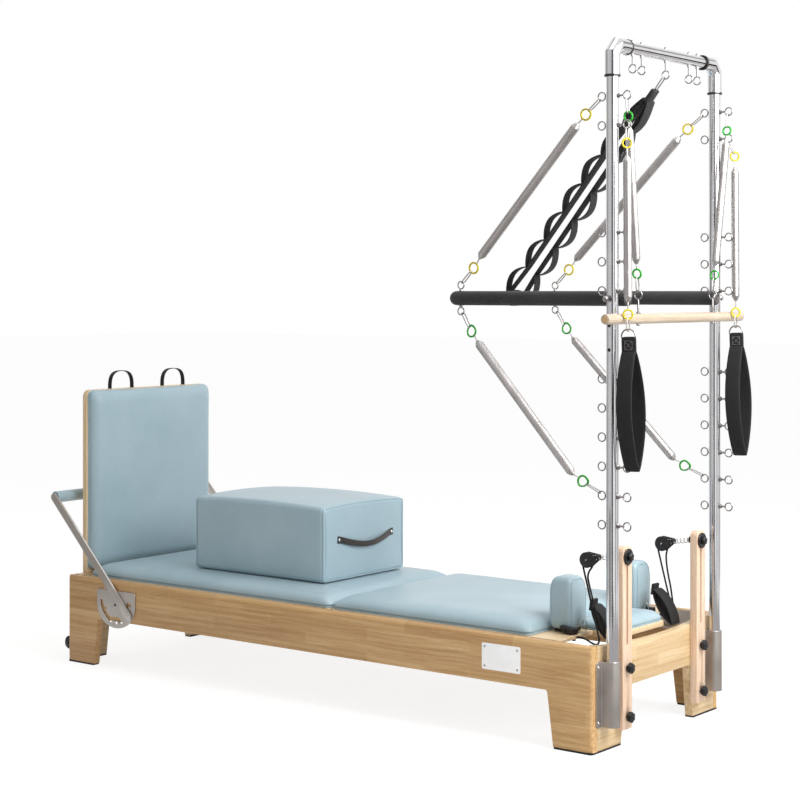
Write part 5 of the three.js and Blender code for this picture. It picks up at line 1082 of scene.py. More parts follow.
def wire_clip(length, radius=8.2, wire=2.0):
    """A spring clip along Z from 0: a wire bent to a pear, wide at 0
    and narrow at its far end, hole along X."""
    turn = np.linspace(0, 2 * np.pi, 48, endpoint=False)
    across = radius * np.cos(turn) * (1 - 0.3 * np.sin(turn))
    along = length / 2 + radius * np.sin(turn) + (length / 2 - radius) * np.tanh(3 * np.sin(turn))
    path = np.stack([np.zeros(48), across, along], -1)
    gate = rod(wire * 0.95, (0, -radius * 1.12, length * 0.3), (0, -radius * 0.86, length * 0.72), 0.5, 12)
    return merged(carried(path, circle(wire, 10), X, closed=True), gate)


def spring_parts(length, body_length, clip_top, clip_low, radius, ring, ring_wire, ring_turn=0.0):
    """The body, the clips and the two coloured rings of a spring that lies along Z from 0 to its length."""
    middle = (length + clip_low - clip_top) / 2
    low, high = middle - body_length / 2, middle + body_length / 2
    low_ring = clip_low - ring_wire + ring
    high_ring = length - clip_top + ring_wire - ring
    wires = [rod(2, (0, 0, low_ring + ring - ring_wire), (0, 0, low + 3), 0.3, 12),
             rod(2, (0, 0, high - 3), (0, 0, high_ring - ring + ring_wire), 0.3, 12), wire_clip(clip_low)]
    if clip_top:
        wires.append(moved(flipped(wire_clip(clip_top), z=-1), (0, 0, length)))
    rings = [turned_by(hoop(ring, ring_wire, (0, 0, at)), Z, ring_turn, (0, 0, at))
             for at in (low_ring, high_ring)]
    return merged(wound_body(low, high, radius), *wires), merged(*rings)


def strung(form, start, end):
    """A form along Z laid from one point to another, with its Y kept
    level: x, y, z go along third, across, along."""
    start, end = np.asarray(start, float), np.asarray(end, float)
    along = unit(end - start)
    across = unit(Y - Y @ along * along)
    return form[0] @ np.stack([np.cross(across, along), across, along]) + start, form[1]


def sagged(form, start, end, drops):
    """A form hung between two points like a chain of stiff links: square to its run it drops by four amounts,
    at its first ring, its body's two ends and its second ring, and by straight-line shares in between."""
    run = end - start
    share = (form[0] - start) @ run / (run @ run)
    down = unit(Z @ run / (run @ run) * run - Z)
    first, body_first, body_last, last = drops
    levels = [0, first, first, body_first, body_last, last, last, 0]
    return form[0] + np.interp(share, SAG_PLACE_SHARES, levels)[:, None] * down, form[1]


def clipped(name, node, body, start, end, end_ring, body_length, clip, sizes, colour,
            drops=(0.0, 0.0, 0.0, 0.0)):
    """A spring hung from an eye of the tower to another eye: its clips reach over each eye's wire."""
    start, end = np.asarray(start, float), np.asarray(end, float)
    along = unit(end - start)
    over = 3.4
    first = start + along * (EYE_RING - over)
    last = end - along * (end_ring - over)
    wire, rings = spring_parts(np.linalg.norm(last - first), body_length, clip, clip, *sizes)
    wire, rings = (sagged(strung(form, first, last), first, last, drops) for form in (wire, rings))
    bend = ("push_through_bar" if body == "base" else "rolldown_rod", start, end)
    make(name, body, wire, SPRING_WIRE, node, angle=60, bend=bend)
    make(name + "_rings", body, rings, colour, bend=bend)


ARM_SIZES = (ARM_SPRING_RADIUS, ARM_RING, ARM_RING_WIRE)
HUNG_SIZES = (SPRING_RADIUS, SPRING_RING, SPRING_RING_WIRE)
for name, side in SIDES:
    y = side * UPRIGHT_Y
    for label, eye_z, way, body_length, colour, drops in (
            ("upper", 1973, 1, 566, YELLOW, (-8, -11, -5, 0)),
            ("lower", 770, -1, 556, GREEN, (24, 36, 21, 15))):
        clipped(f"{name}_{label}_arm_spring", f"{name}_{label}_spring", "base", (EYE_BACK, y, eye_z),
                (BAR_EYE_X, side * BAR_Y, BAR_Z + way * BAR_EYE_RISE), BAR_EYE_RING, body_length, ARM_CLIP,
                ARM_SIZES, colour, drops)
    clipped(f"{name}_long_hanging_spring", f"{name}_rolldown_spring", "rolldown_springs",
            (EYE_FRONT, y, 1973),
            (ROLLDOWN_X, side * ROLLDOWN_EYE_Y, ROLLDOWN_EYE_Z), ROLLDOWN_EYE_RING, 417, 44, HUNG_SIZES,
            GREEN)
    # The hand spring's top clip leans past the roll-down spring; the rest hangs straight.
    eye_low = np.array([EYE_FRONT, y, HAND_EYE_Z - EYE_RING])
    clip_end = np.array([UPRIGHT_X + 62.5, side * HAND_Y, HAND_EYE_Z - 49.1])
    hook = eye_low + unit(eye_low - clip_end) * 3.0
    low = np.array([UPRIGHT_X + 66.5, side * HAND_Y, 1250.6 + 2 * 9 * COS_22])
    top = clip_end + (0, 0, 2)
    wire, rings = spring_parts(np.linalg.norm(top - low), 436, 0, 39, *HUNG_SIZES, 42)
    clip = strung(wire_clip(np.linalg.norm(clip_end - hook), 6), hook, clip_end)
    body, bend = f"{name}_hand_spring_body", (f"{name}_hand_loop_body", top, low)
    make(f"{name}_hand_spring_wire", body, [strung(wire, low, top), clip], SPRING_WIRE,
         f"{name}_hand_spring", angle=60, bend=bend)
    make(f"{name}_hand_spring_rings", body, strung(rings, low, top), YELLOW, bend=bend)


# Roll-down bar

ROLLDOWN_HALF = 429.0
BAR_TIP = [[0, -ROLLDOWN_HALF], [11, -ROLLDOWN_HALF], [14, -427.6], [15.4, -425], [15.8, -420]]
profile = both_ends(BAR_TIP, np.linspace(-380, 380, 20))
make("rolldown_rod_wood", "rolldown_rod", turned(profile, (ROLLDOWN_X, 0, ROLLDOWN_Z), Y, 48), BAR_BEECH,
     "rolldown_bar")
ends = [washer(10.5, 0.5, (ROLLDOWN_X, side * ROLLDOWN_HALF, ROLLDOWN_Z), side * Y, 0.1, 40)
        for side in (-1, 1)]
make("rolldown_rod_ends", "rolldown_rod", ends, DARK_END)
parts = []
for y in (-ROLLDOWN_EYE_Y, ROLLDOWN_EYE_Y):
    parts += [hoop(ROLLDOWN_EYE_RING, EYE_WIRE, (ROLLDOWN_X, y, ROLLDOWN_EYE_Z)),
              shank((ROLLDOWN_X, y, 1281), (ROLLDOWN_X, y, 1364)),
              hex_nut(6.6, 5, (ROLLDOWN_X, y, 1282.5), Z),
              washer(8.5, 1.2, (ROLLDOWN_X, y, 1286.8), Z), washer(8.5, 1.2, (ROLLDOWN_X, y, 1318.4), Z),
              hex_nut(6.2, 4.4, (ROLLDOWN_X, y, 1319.4), Z)]
make("rolldown_rod_eyes", "rolldown_rod", parts, SHADE_DARKENED_STEEL)


# Hand loops

LOOP_X, LOOP_Z = UPRIGHT_X + 68.5, 1246.0
LOOP_HIGH, LOOP_LOW, LOOP_OPEN = 1209.0, 852.0, 41.0
LOOP_LEAN = -2
TAB_LEVELS = (1201, 1225, 1245, 1249, 1251)
STITCH_LOW, STITCH_HIGH, STITCH_HALF = 1212, 1238, 13


def hand_loop():
    """A padded webbing loop: two sides that open as sin^0.8 of the way
    down, and a sewn tab over their top."""
    share = np.linspace(0, 1, 40)
    height = LOOP_HIGH + (LOOP_LOW - LOOP_HIGH) * share
    left = np.stack([np.zeros(40), LOOP_OPEN * np.sin(np.pi * share) ** 0.8, height], -1)
    line = np.vstack([left, (left * (1, -1, 1))[::-1][1:-1]])
    width = 1 + 0.1 * np.sin(np.pi * (line[:, 2] - 850) / 361)
    web = carried(line, flat_profile(48, 5, 5.0), X, closed=True, swell=width)
    tab = carried([(0, 0, z) for z in TAB_LEVELS], flat_profile(50, 7, 5.0), X, swell=[1, 1, 1, 0.92, 0.6])
    return merged(web, tab)


def arched_ring(width, height, wire):
    """A D-ring of wire in x and z: a straight side below and an arch over it."""
    line = rounded_outline([(-width / 2, 0, 4), (width / 2, 0, 4), (width * 0.48, height, height * 0.8),
                            (-width * 0.48, height, height * 0.8)], 8, 4)
    return carried(np.stack([line[:, 0], np.zeros(len(line)), line[:, 1]], -1), circle(wire, 12), Y,
                   closed=True)


def tab_stitches(y):
    """Cross stitching on both faces of the tab: a square of short threads with its two diagonals."""
    square = [(-STITCH_HALF, STITCH_LOW), (STITCH_HALF, STITCH_LOW), (STITCH_HALF, STITCH_HIGH),
              (-STITCH_HALF, STITCH_HIGH)]
    seams = [(square[i - 1], square[i]) for i in range(4)]
    seams += [(square[0], square[2]), (square[1], square[3])]
    return merged(*(rod(0.8, (LOOP_X + a[0], y + face, a[1]), (LOOP_X + b[0], y + face, b[1]), 0.2, 8)
                    for face in (-4.0, 4.0) for a, b in seams))


for name, side in SIDES:
    y = side * HAND_Y
    centre = (LOOP_X, y, LOOP_Z)
    body = f"{name}_hand_loop_body"
    make(f"{name}_padded_loop", body, turned_by(moved(hand_loop(), (LOOP_X, y, 0)), Y, LOOP_LEAN, centre),
         WEB, f"{name}_hand_loop", angle=60)
    make(f"{name}_loop_ring", body, moved(arched_ring(48, 25.5, 2.4), (LOOP_X - 1, y, LOOP_Z + 0.8)),
         SHADE_DARKENED_STEEL)
    make(f"{name}_loop_stitching", body, turned_by(tab_stitches(y), Y, LOOP_LEAN, centre), STITCH)


# Safety strap

STRAP_BAR_Y = 70.0
STRAP_LOOPS = 7
STRAP_START = 89.0
TAB_PLACES = [49, 52, 68, 88, 94]
STRAP_WEB = flat_profile(46, 3.6, 5.0)
strap_eye = np.array([UPRIGHT_X, 0, TOP_EYE_Z])
bar_centre = np.array([BAR_X, STRAP_BAR_Y, BAR_Z])
strap_along = unit(bar_centre - strap_eye)
strap_across = unit(Y - Y @ strap_along * strap_along)
strap_third = np.cross(strap_across, strap_along)
strap_start = strap_eye + strap_along * 9.6
strap_length = float(np.linalg.norm(bar_centre - strap_start))


def strap_point(offset, along):
    """A point of the strap: its distance along from the hook and its offset towards one of the two legs."""
    return strap_start + along[..., None] * strap_along + offset[..., None] * strap_third


def strap_leg(way):
    """A straight web, and outside it a longer web stitched down at each seventh of its length, bulging as
    |sin|^0.85, less near the tab where the webs lie bunched."""
    share = np.linspace(0, 1, 169)
    along = STRAP_START + (strap_length - STRAP_START) * share
    offset = 7 + 13 * np.clip(share / 0.25, 0, 1) + 7 * np.clip(1 - (1 - share) * STRAP_LOOPS, 0, 1)
    lifted = 29 * (0.3 + 0.7 * np.clip(share / 0.35, 0, 1))
    bulge = lifted * np.abs(np.sin(np.pi * STRAP_LOOPS * share)) ** 0.85
    width = 1 - 0.3 * share ** 0.7
    return [carried(strap_point(way * out, along), STRAP_WEB, strap_across, swell=width)
            for out in (offset, offset + 3.2 + bulge)]


tab = carried(strap_point(np.zeros(5), np.array(TAB_PLACES, float)), flat_profile(36, 17, 5.0), strap_across,
              swell=[0.8, 1, 1, 1.05, 1.1])
wrap = arc((BAR_X, BAR_Z), FOAM_RADIUS + 2.7, 0, 2 * np.pi, 49)[:-1]
wrap = np.stack([wrap[:, 0], np.full(48, STRAP_BAR_Y), wrap[:, 1]], -1)
wrap = carried(wrap, flat_profile(46, 3.2, 5.0), Y, closed=True)
make("safety_strap_webs", "base", [*strap_leg(-1), *strap_leg(1), tab, wrap], WEB,
     "safety_strap", angle=60, bend=("push_through_bar", strap_start, (BAR_X + 40, STRAP_BAR_Y, BAR_Z + 36)))
make("safety_strap_clip", "base", strung(wire_clip(54), strap_start, bar_centre), SHADE_DARKENED_STEEL)


# Carriage

DECK_START, DECK_END, DECK_HALF = 100.0, 1005.0, 353.0
NOTCH_START, NOTCH_HALF = 902.0, 153.0
DECK_LOW, DECK_TOP = 310.0, 322.0
PAD_SEAT = DECK_TOP + 0.4
WHEEL_PLACES = (("front", 190), ("rear", 820))
AXLE_Z = 285.3
WHEEL = [[4, -11], [12, -11], [13, -9], [19, -9], [20, -11], [21.3, -10.5], [22, -9]]
REST_X, REST_Y = 941.0, 200.0
REST_SHOULDER, REST_ROUND = 430.0, 64.0

deck = rounded_outline([
    (DECK_START, -DECK_HALF, 6), (DECK_END, -DECK_HALF, 12), (DECK_END, -NOTCH_HALF, 6),
    (NOTCH_START, -NOTCH_HALF, 3), (NOTCH_START, NOTCH_HALF, 3), (DECK_END, NOTCH_HALF, 6),
    (DECK_END, DECK_HALF, 12), (DECK_START, DECK_HALF, 6)], 6)
parts = [board(deck, DECK_LOW, DECK_TOP, 1.5, 2.5)]
parts += [rounded_block((x - 15, side * 300 - 8, 280), (x + 15, side * 300 + 8, 311), 2, spacing=20)
          for side in (-1, 1) for _, x in WHEEL_PLACES]
make("carriage_deck", "carriage", parts, PLYWOOD, "carriage_board", angle=50)
make("headrest_pin", "carriage", rod(3, (922, -158, 316), (922, 158, 316)), STAINLESS)
finish_cad(SPRING_WIRE, "carriage_springs")
for name, x in WHEEL_PLACES:
    parts = [rod(5, (x, -358, AXLE_Z), (x, 358, AXLE_Z))]
    parts += [turned(both_ends(WHEEL, closed=True), (x, side * 347, AXLE_Z), Y, 40) for side in (-1, 1)]
    make(f"{name}_carriage_wheels", f"{name}_wheels", parts, NYLON, f"{name}_wheelset",
         angle=45)


def pad_on(start, end, half_y, top, seed, **shape):
    """A cushion on the deck from one place along X to another, with its own slow unevenness."""
    form = cushion((end - start) / 2, half_y, top - PAD_SEAT, **shape)
    return moved(wrinkled(form, 0.8, seed), ((start + end) / 2, 0, PAD_SEAT))


def welt(start, end, half_y, z, radius, corner=22, pull=3.0):
    """A thin cord sewn round a cushion's foot, drawn in between the corners as the cushion is."""
    half_x, middle_x = (end - start) / 2, (start + end) / 2
    line = rectangle((-half_x, -half_y), (half_x, half_y), corner, steps=8, spacing=30)
    share = np.clip(np.abs(line[:, ::-1]) / np.array([half_y, half_x]), 0, 1)
    line = line * (1 - pull / np.array([half_x, half_y]) * (1 - share ** 4))
    path = np.stack([line[:, 0] + middle_x, line[:, 1], np.full(len(line), z)], -1)
    return carried(path, circle(radius, 10), Z, closed=True)


for name, body, node, form in (
        ("carriage_pad", "carriage", "carriage_cushion", pad_on(102, 898, DECK_HALF, CUSHION_TOP, 3, lip=10)),
        ("mat_pad", "mat", "mat_cushion", pad_on(-1074, 93, DECK_HALF, CUSHION_TOP, 5, lip=10)),
        ("headrest_pad", "headrest", "headrest_cushion",
         pad_on(936, 1089, 148, 358, 7, corner=30, soft=42, count=10, crown=3, pull=2))):
    make(name, body, form, VINYL, node)
for name, body, form in (
        ("carriage_welt", "carriage", welt(102, 898, 351.4, 324, 1.5)),
        ("mat_welt", "mat", welt(-1073, 92, 351.4, 324, 1.5)),
        ("headrest_welt", "headrest", welt(937, 1088, 147, 325, 1.6, 28, 2.0))):
    make(name, body, form, VINYL)
make("headrest_deck", "headrest",
     board(rectangle((912, -149), (1090, 149), 14, steps=8), 304, DECK_TOP, 1.5, 3.0),
     PLYWOOD, "headrest_board", angle=50)


def rest_draw(z, share):
    """How far a shoulder rest draws in over its round top: 1 - share
    u^2.2, u running from 0 at its shoulder to 1."""
    return 1 - share * np.clip((z - REST_SHOULDER) / REST_ROUND, 0, 1) ** 2.2


def shoulder_pad(side):
    """A stuffed block: round-edged, its top a half round over its
    width, and all its upright faces swelling slightly."""
    corners, faces = rounded_block((REST_X - 40, side * REST_Y - 49, 333),
                                   (REST_X + 40, side * REST_Y + 49, 494), 16, 1.2, 6, 12)
    points = corners - (REST_X, side * REST_Y, 0)
    points[:, 1] *= rest_draw(points[:, 2], 0.16)
    points[:, 0] *= rest_draw(points[:, 2], 0.20)
    low = np.clip((363 - points[:, 2]) / 30, 0, 1)
    points[:, :2] *= (1 - 0.035 * low ** 1.5)[:, None]
    return points + (REST_X, side * REST_Y, 0), faces


def shoulder_seam(side, way):
    """The sewn edge round one face of a shoulder rest."""
    outline = rectangle((-41, 341), (41, 487), 7, 18, narrow=2, steps=8, spacing=12)
    z = outline[:, 1]
    x = REST_X + way * 40.4 * rest_draw(z, 0.20)
    y = side * REST_Y + outline[:, 0] * rest_draw(z, 0.16)
    return carried(np.stack([x, y, z], -1), circle(0.9, 8), X, closed=True)


def rope_cleat(y):
    """The rope clamp behind a rest: a moulded block, the lever that leans over it and its pin."""
    lever = rounded_block((950, y - 26, 336), (1000, y - 6, 346), 4, spacing=12)
    return [rounded_block((960, y - 18, PAD_SEAT), (1000, y + 8, 342), 4, spacing=12),
            turned_by(lever, Y, 8, (975, y, 340)), rod(4.5, (966, y - 24, 332), (966, y + 10, 332))]


ROPE_HOOK = ((1001, 324), (1004, 342), (1003, 356), (996, 361), (990, 352), (992, 340))
for name, side in SIDES:
    y = side * REST_Y
    body = f"{name}_shoulder"
    make(f"{name}_shoulder_pad", body, shoulder_pad(side), VINYL, f"{name}_shoulder_rest")
    base = [rounded_block((910, y - 30, PAD_SEAT), (972, y + 30, 336), 3, spacing=20)]
    base += [rod(6, (REST_X + way * 22, y, 292.4), (REST_X + way * 22, y, 325)) for way in (-1, 1)]
    make(f"{name}_shoulder_base", body, base, NYLON)
    make(f"{name}_shoulder_seams", body, [shoulder_seam(side, way) for way in (-1, 1)], VINYL)
    make(f"{name}_rope_cleat", "carriage", rope_cleat(side * 239), NYLON)
    hook = smooth_line([(x, side * 190, z) for x, z in ROPE_HOOK], 6)
    make(f"{name}_rope_hook", "carriage", carried(hook, circle(1.6, 10), Y), CHROME)


# Mat board and sitting box

MAT_START, MAT_END = -1073.0, 93.0
BOX_LOW, BOX_HIGH = np.array([-667.5, -213, 372.3]), np.array([-50.5, 245, 635.5])
BOX_MIDDLE = (BOX_LOW + BOX_HIGH) / 2
BOX_DRAW = 0.006
HANDLE_X, HANDLE_Y, HANDLE_Z = 309.0, 19.0, 516.0

runners = [rounded_block((-1066, side * 345 - 10, 263.3), (63, side * 345 + 10, 311), 1.5, spacing=200)
           for side in (-1, 1)]
mat_plan = rectangle((MAT_START, -DECK_HALF), (MAT_END, DECK_HALF), 6)
make("mat_deck", "mat", [board(mat_plan, DECK_LOW, DECK_TOP, 1.5, 2.5), *runners], PLYWOOD,
     "mat_board", angle=50)


def box_draw(z):
    """How much the box's sides draw in at a height: 1 - 0.006 sin(pi h), h running from 0 to 1 up the box."""
    share = np.clip((z - BOX_LOW[2]) / (BOX_HIGH[2] - BOX_LOW[2]), 0, 1)
    return 1 - BOX_DRAW * np.sin(np.pi * share)


def box_crown(x, y, z):
    """How far the filling lifts the cover: 9 (1 - u^2) + 9 (1 - v^2) - 3 mm, u and v running
    from -1 to 1 over the plan, times the square of the height's share above the middle."""
    u, v = (np.clip(2 * (at - BOX_MIDDLE[k]) / (BOX_HIGH[k] - BOX_LOW[k]), -1, 1)
            for k, at in ((0, x), (1, y)))
    grown = np.clip((z - BOX_MIDDLE[2]) / (BOX_HIGH[2] - BOX_MIDDLE[2]), 0, 1) ** 2
    return grown * (9 * (1 - u ** 2) + 9 * (1 - v ** 2) - 3)


def box_cover():
    """The box's cover: a round-edged block whose sides draw in and whose top is crowned."""
    corners, faces = rounded_block(BOX_LOW, BOX_HIGH, 18, 2.6, 8, 30)
    plan = BOX_MIDDLE[:2] + (corners[:, :2] - BOX_MIDDLE[:2]) * box_draw(corners[:, 2])[:, None]
    corners = np.column_stack([plan, corners[:, 2]])
    corners[:, 2] = np.maximum(corners[:, 2] + box_crown(*corners.T), BOX_LOW[2])
    return corners, faces


def box_seam(x, inset, radius):
    """A sewn edge round one end of the box, a rounded rectangle in y and z just proud of the cover."""
    line = rectangle(BOX_LOW[1:] + inset, BOX_HIGH[1:] - inset, 13, steps=8, spacing=25)
    y = BOX_MIDDLE[1] + (line[:, 0] - BOX_MIDDLE[1]) * box_draw(line[:, 1])
    z = line[:, 1] + box_crown(x, y, line[:, 1])
    return carried(np.stack([np.full(len(line), x), y, z], -1), circle(radius, 8), X, closed=True)


def strap_handle(end):
    """A leather handle: its line bulges 17 from the face and droops 25,
    both as a cosine, and it narrows to the middle."""
    share = np.linspace(-1, 1, 41)
    x = BOX_MIDDLE[0] + end * HANDLE_X
    bow = np.cos(np.pi / 2 * share)
    middle = np.stack([x + end * 17 * bow, HANDLE_Y + 144 * share, HANDLE_Z - 25 * bow], -1)[1:-1]
    tail = np.array([[x, HANDLE_Y - 156, HANDLE_Z + 0.5], [x, HANDLE_Y - 150, HANDLE_Z + 0.2]])
    head = tail[::-1] * (1, -1, 1) + (0, 2 * HANDLE_Y, 0)
    path = np.vstack([tail, middle, head])
    width = 1 - 0.22 * np.clip(1 - np.abs(path[:, 1] - HANDLE_Y) / 150, 0, 1) ** 0.5
    return carried(path, flat_profile(25, 3.2, 4.0), Z, swell=width)


make("sitting_box_cover", "box", box_cover(), VINYL, "sitting_box")
seams = []
for end, face in ((-1, BOX_LOW[0]), (1, BOX_HIGH[0])):
    seams += [box_seam(face - end * 4.5, 4.5, 2.2), box_seam(face - end * 0.5, 14, 0.5)]
make("sitting_box_piping", "box", seams, VINYL)
for end, label in ((1, "tower"), (-1, "foot")):
    make(f"box_strap_{label}_end", "box", strap_handle(end), BLACK_LEATHER,
         f"box_handle_{label}_end", angle=60)
    rivets = [screw_head(5.4, (BOX_MIDDLE[0] + end * (HANDLE_X + 2), HANDLE_Y + way * 148, HANDLE_Z), end * X)
              for way in (-1, 1)]
    make(f"box_rivets_{label}_end", "box", rivets, CHROME)


# Jump board

JUMP_HALF, JUMP_LOW, JUMP_TOP, JUMP_BOARD = 322.0, 323.3, 1013.0, 22.0
JUMP_LOOP_X, JUMP_LOOP_Y = -1139.0, 140.0
TONGUE_BACK, TONGUE_Y = -1113.7, 200.0


def jump_loop(side):
    """A carrying loop that stands on the board's top: a flat arch, its
    width going as |cos|^0.75 and its height as sin^0.62 of the turn."""
    turn = np.linspace(0, np.pi, 33)
    y = side * JUMP_LOOP_Y + 5 - 58 * np.sign(np.cos(turn)) * np.abs(np.cos(turn)) ** 0.75
    z = JUMP_TOP - 2 + 69 * np.sin(turn) ** 0.62
    return carried(np.stack([np.full(33, JUMP_LOOP_X), y, z], -1), flat_profile(20, 2.6, 5.0), X)


def tongue(side):
    """A steel tongue that holds the board on the foot end: a plate
    behind the end board and a foot under the pad."""
    y = side * TONGUE_Y
    return [rounded_block((TONGUE_BACK - 6, y - 20, 264), (TONGUE_BACK, y + 20, 331), 1.5, spacing=20),
            rounded_block((-1129, y - 20, 323.5), (-1114, y + 20, 331), 1.5, spacing=20)]


outline = rectangle((-JUMP_HALF, JUMP_LOW), (JUMP_HALF, JUMP_TOP), 3, 26, steps=10)
make("jump_board_wood", "jump_board_unit", laid(board(outline, -HALF, -HALF + JUMP_BOARD, 2.5, 2.5), "yzx"),
     STANDING_PLY, "jump_board", angle=50)
make("jump_board_loops", "jump_board_unit", [jump_loop(-1), jump_loop(1)], WEB, angle=60)
make("jump_board_tongues", "jump_board_unit", tongue(-1) + tongue(1), STAINLESS)
pad = wrinkled(cushion(339.5, 318, 51, corner=26, soft=52, lip=14, crown=5, count=20), 0.8, 11)
pad = moved(flipped((pad[0][:, [2, 1, 0]], pad[1]), z=-1), (-HALF + JUMP_BOARD + 0.3, 0, 673.5))
make("jump_board_pad", "jump_board_unit", pad, VINYL, "jump_pad")


# Footbar

ROLL_X, ROLL_Z = -1216.0, 610.0
TAIL_X, TAIL_Z = -817.0, 203.0
PIVOT_X, PIVOT_Z = -881.0, 238.0
ARM_INNER, ARM_OUTER, ARM_HALF = 400.3, 408.0, 15.0
ROLL = [[12.4, -399.6], [20.2, -399.6], [21.3, -398.4], [21.5, -396]]


def arm_outline():
    """A flat arm with round ends, from the roll to the tail beyond the pivot."""
    lean = math.atan2(ROLL_Z - TAIL_Z, ROLL_X - TAIL_X)
    return np.vstack([arc((x, z), ARM_HALF, begin, begin + np.pi, 17) for x, z, begin in (
        (ROLL_X, ROLL_Z, lean - np.pi / 2), (TAIL_X, TAIL_Z, lean + np.pi / 2))])


parts = [rod(12, (ROLL_X, -401, ROLL_Z), (ROLL_X, 401, ROLL_Z))]
bolts, sockets = [], []
for side in (-1, 1):
    inner, outer = sorted((side * ARM_INNER, side * ARM_OUTER))
    parts.append(laid(board(arm_outline(), inner, outer, 1.2, 1.2), "xzy"))
    bolts += [screw_head(4, (TAIL_X, side * ARM_OUTER, TAIL_Z), side * Y),
              screw_head(3.2, (-936, side * ARM_OUTER, 296), side * Y),
              rod(9, (PIVOT_X, side * 400, PIVOT_Z), (PIVOT_X, side * 409, PIVOT_Z), 1.2),
              rod(5.8, (PIVOT_X, side * 366, PIVOT_Z), (PIVOT_X, side * 401, PIVOT_Z))]
    sockets.append(washer(5, 0.8, (PIVOT_X, side * 408.9, PIVOT_Z), side * Y, sides=6))
make("footbar_arms", "footbar", parts, STAINLESS, "footbar_frame", angle=16)
make("footbar_screws", "footbar", bolts, STAINLESS)
make("footbar_pivot_sockets", "footbar", sockets, NYLON)
roll = both_ends(ROLL, np.linspace(-380, 380, 24), closed=True)
make("footbar_roll", "footbar", turned(roll, (ROLL_X, 0, ROLL_Z), Y, 48), VINYL,
     "footbar_pad")

# The footbar's stop plates. The arc slot has three pin notches below;
# the short slot has two notches at its right.
SHIELD_START, SHIELD_END, SHIELD_TOP, SHIELD_SHOULDER, SHIELD_LOW = -987.0, -788.0, 289.0, 236.6, 152.0
STOP_INNER, STOP_OUTER = 394.8, 399.8
ARC_SLOT = [
    (-970, 252), (-958, 252), (-953, 233), (-947, 223), (-940, 228), (-936, 220), (-942, 213), (-928, 199),
    (-913, 191), (-896, 193), (-880, 194), (-873, 195), (-864, 187), (-852, 176), (-859, 166), (-873, 177),
    (-879, 180), (-881, 168), (-892, 165), (-893, 180), (-906, 180), (-911, 172), (-923, 170), (-925, 179),
    (-938, 189), (-953, 204), (-958, 210), (-966, 227)]
SHORT_SLOT = [
    (-832, 252), (-809, 248), (-807, 238), (-821, 239), (-822, 229), (-808, 220), (-812, 210), (-827, 215),
    (-838, 211), (-841, 220), (-833, 229)]
STOP_SCREWS = ((-970, 277), (-806, 275), (-820, 205), (-836, 192), (-925, 262))


def stop_plate():
    """The shield-shaped plate: a rounded head over half an ellipse, with its two slots."""
    turn = np.linspace(np.pi, 2 * np.pi, 33)
    middle, half = (SHIELD_START + SHIELD_END) / 2, (SHIELD_END - SHIELD_START) / 2
    head = rounded_outline([(SHIELD_END, SHIELD_SHOULDER), (SHIELD_END, SHIELD_TOP, 10),
                            (SHIELD_START, SHIELD_TOP, 10), (SHIELD_START, SHIELD_SHOULDER)], 6)
    below = np.stack([middle + half * np.cos(turn),
                      SHIELD_SHOULDER + (SHIELD_SHOULDER - SHIELD_LOW) * np.sin(turn)], -1)
    shield = np.vstack([head, below[1:-1]])
    return laid(pierced(shield, [np.array(ARC_SLOT, float), np.array(SHORT_SLOT, float)], STOP_INNER,
                        STOP_OUTER), "xzy")


for name, side in SIDES:
    make(f"{name}_stop_plate", "base", flipped(stop_plate(), y=side), BARE_ALUMINIUM,
         f"{name}_footbar_plate", angle=16)
    screws = [screw_head(2.4, (x, side * (STOP_OUTER - 0.9), z), side * Y) for x, z in STOP_SCREWS]
    make(f"{name}_stop_plate_screws", "base", screws, STAINLESS)


# Floor, backdrop and light

WHITE = linear("#FFFFFF")
FLOOR_HALF, FLOOR_Z = 40, -0.0005


def stage_piece(name, corners, material):
    """A four-cornered sheet of the stage, which isn't part of the object."""
    mesh = bpy.data.meshes.new(name)
    mesh.from_pydata(corners, [], [(0, 1, 2, 3)])
    mesh.materials.append(material)
    piece = bpy.data.objects.new(name, mesh)
    bpy.context.scene.collection.objects.link(piece)
    return piece


def empty_tree(owner):
    """The node tree of a material or world, cleared."""
    owner.use_nodes = True
    owner.node_tree.nodes.clear()
    return owner.node_tree


def seen_straight(tree):
    """One for a ray from the camera, or one that has only been mirrored
    or let through, and zero for other rays."""
    path = add(tree, "ShaderNodeLightPath")
    seen = add(tree, "ShaderNodeMath", {0: path.outputs["Is Camera Ray"], 1: path.outputs["Is Glossy Ray"]},
               operation="MAXIMUM")
    return add(tree, "ShaderNodeMath", {0: seen.outputs[0], 1: path.outputs["Is Transmission Ray"]},
               operation="MAXIMUM").outputs[0]


def lamp(name, at, towards, size, power):
    """A soft square white lamp at a point, turned towards another."""
    data = bpy.data.lights.new(name, "AREA")
    data.size, data.energy = size, power
    piece = bpy.data.objects.new(name, data)
    bpy.context.scene.collection.objects.link(piece)
    piece.location = at
    direction = unit(np.subtract(towards, at).astype(float))
    piece.rotation_euler = (math.acos(-direction[2]), 0, math.atan2(direction[1], direction[0]) - math.pi / 2)


def glowing(name, corners, tone):
    """A four-cornered card that glows at its tone and that only mirror-like surfaces see."""
    material = bpy.data.materials.new(name + "_paint")
    tree = empty_tree(material)
    glow = add(tree, "ShaderNodeEmission", {"Color": linear(tone), "Strength": 1.0})
    add(tree, "ShaderNodeOutputMaterial", {"Surface": glow.outputs[0]})
    piece = stage_piece(name, corners, material)
    piece.visible_camera = piece.visible_diffuse = piece.visible_shadow = False
    piece.visible_transmission = piece.visible_volume_scatter = False


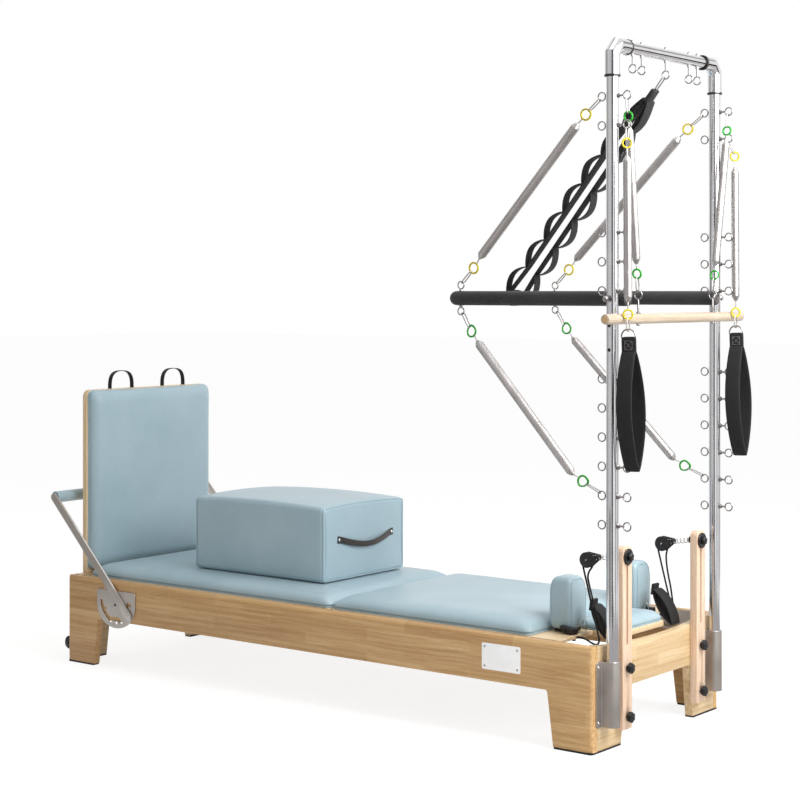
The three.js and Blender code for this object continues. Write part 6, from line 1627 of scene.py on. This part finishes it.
def card(name, degrees, distance, width, low, high, tone):
    """An upright card that faces the near upright, at a bearing and a distance from it in metres."""
    angle = math.radians(degrees)
    about = MIDDLE[:2] + np.array([UPRIGHT_X, -UPRIGHT_Y]) / 1000
    centre = about + np.array([math.cos(angle), math.sin(angle)]) * distance
    side = np.array([-math.sin(angle), math.cos(angle)]) * width / 2
    corners = [(*(centre - side), low), (*(centre + side), low), (*(centre + side), high),
               (*(centre - side), high)]
    glowing(name, corners, tone)


floor_material, tree, shader = start("studio_floor", 0.9)
shader.inputs["Base Color"].default_value = WHITE
glow = add(tree, "ShaderNodeEmission", {"Color": WHITE, "Strength": 1.16})
part = add(tree, "ShaderNodeMath", {0: seen_straight(tree), 1: 0.72}, operation="MULTIPLY")
mix = add(tree, "ShaderNodeMixShader", {0: part.outputs[0], 1: shader.outputs[0], 2: glow.outputs[0]})
output = next(node for node in tree.nodes if node.type == "OUTPUT_MATERIAL")
tree.links.new(mix.outputs[0], output.inputs["Surface"])
floor_corners = [(x * FLOOR_HALF, y * FLOOR_HALF, FLOOR_Z) for x, y in ((-1, -1), (1, -1), (1, 1), (-1, 1))]
stage_piece("floor", floor_corners, floor_material)

world = bpy.data.worlds.new("studio")
bpy.context.scene.world = world
tree = empty_tree(world)
dim = add(tree, "ShaderNodeBackground", {"Color": WHITE, "Strength": 0.47})
full = add(tree, "ShaderNodeBackground", {"Color": WHITE, "Strength": 1.0})
mix = add(tree, "ShaderNodeMixShader", {0: seen_straight(tree), 1: dim.outputs[0], 2: full.outputs[0]})
add(tree, "ShaderNodeOutputWorld", {"Surface": mix.outputs[0]})

lamp("key", (2.5, -0.1, 2.1), (0.5, 0, 0.4), 1.8, 78)
lamp("top", (0.2, 0.6, 4.8), (0.1, 0, 0.3), 3.0, 60)

# Toned cards stand round the tower and are seen only in metal, as the bands in its tubes. Each has a
# bearing in degrees, a distance and a width, its lowest and highest point in metres, and its tone.
CARDS = (
    ("card_left", -157, 2.6, 2.5, 0.01, 3.4, "#B4B1B0"), ("card_front", -107, 2.0, 1.3, 0.5, 3.3, "#D6D4D4"),
    ("card_front_low", -107, 1.98, 1.3, 0.01, 0.5, "#8F8C8A"),
    ("card_soft", -79, 2.05, 0.45, 0.01, 3.2, "#A9A7A6"),
    ("card_dark", -60, 2.0, 0.66, 0.01, 3.2, "#121213"), ("card_back", 1, 2.1, 0.6, 0.01, 3.2, "#9C9998"),
    ("card_right", 40, 2.7, 0.9, 0.01, 1.5, "#D0CECE"), ("card_roof", 165, 0.9, 2.0, 3.0, 5.5, "#DDDBDB"),
    ("card_band", 56, 3.0, 3.0, 1.5, 2.0, "#33291F"), ("card_below", 52, 3.2, 3.0, 0.01, 1.5, "#CFCBC9"),
    ("card_above", 54, 3.0, 3.0, 3.1, 4.2, "#AFACAA"))
for entry in CARDS:
    card(*entry)
floor_card = [row_point(x, y, 0.3) for x, y in ((300, -2300), (3400, -2300), (3400, 1700), (300, 1700))]
glowing("card_floor", floor_card, "#B9B6B5")
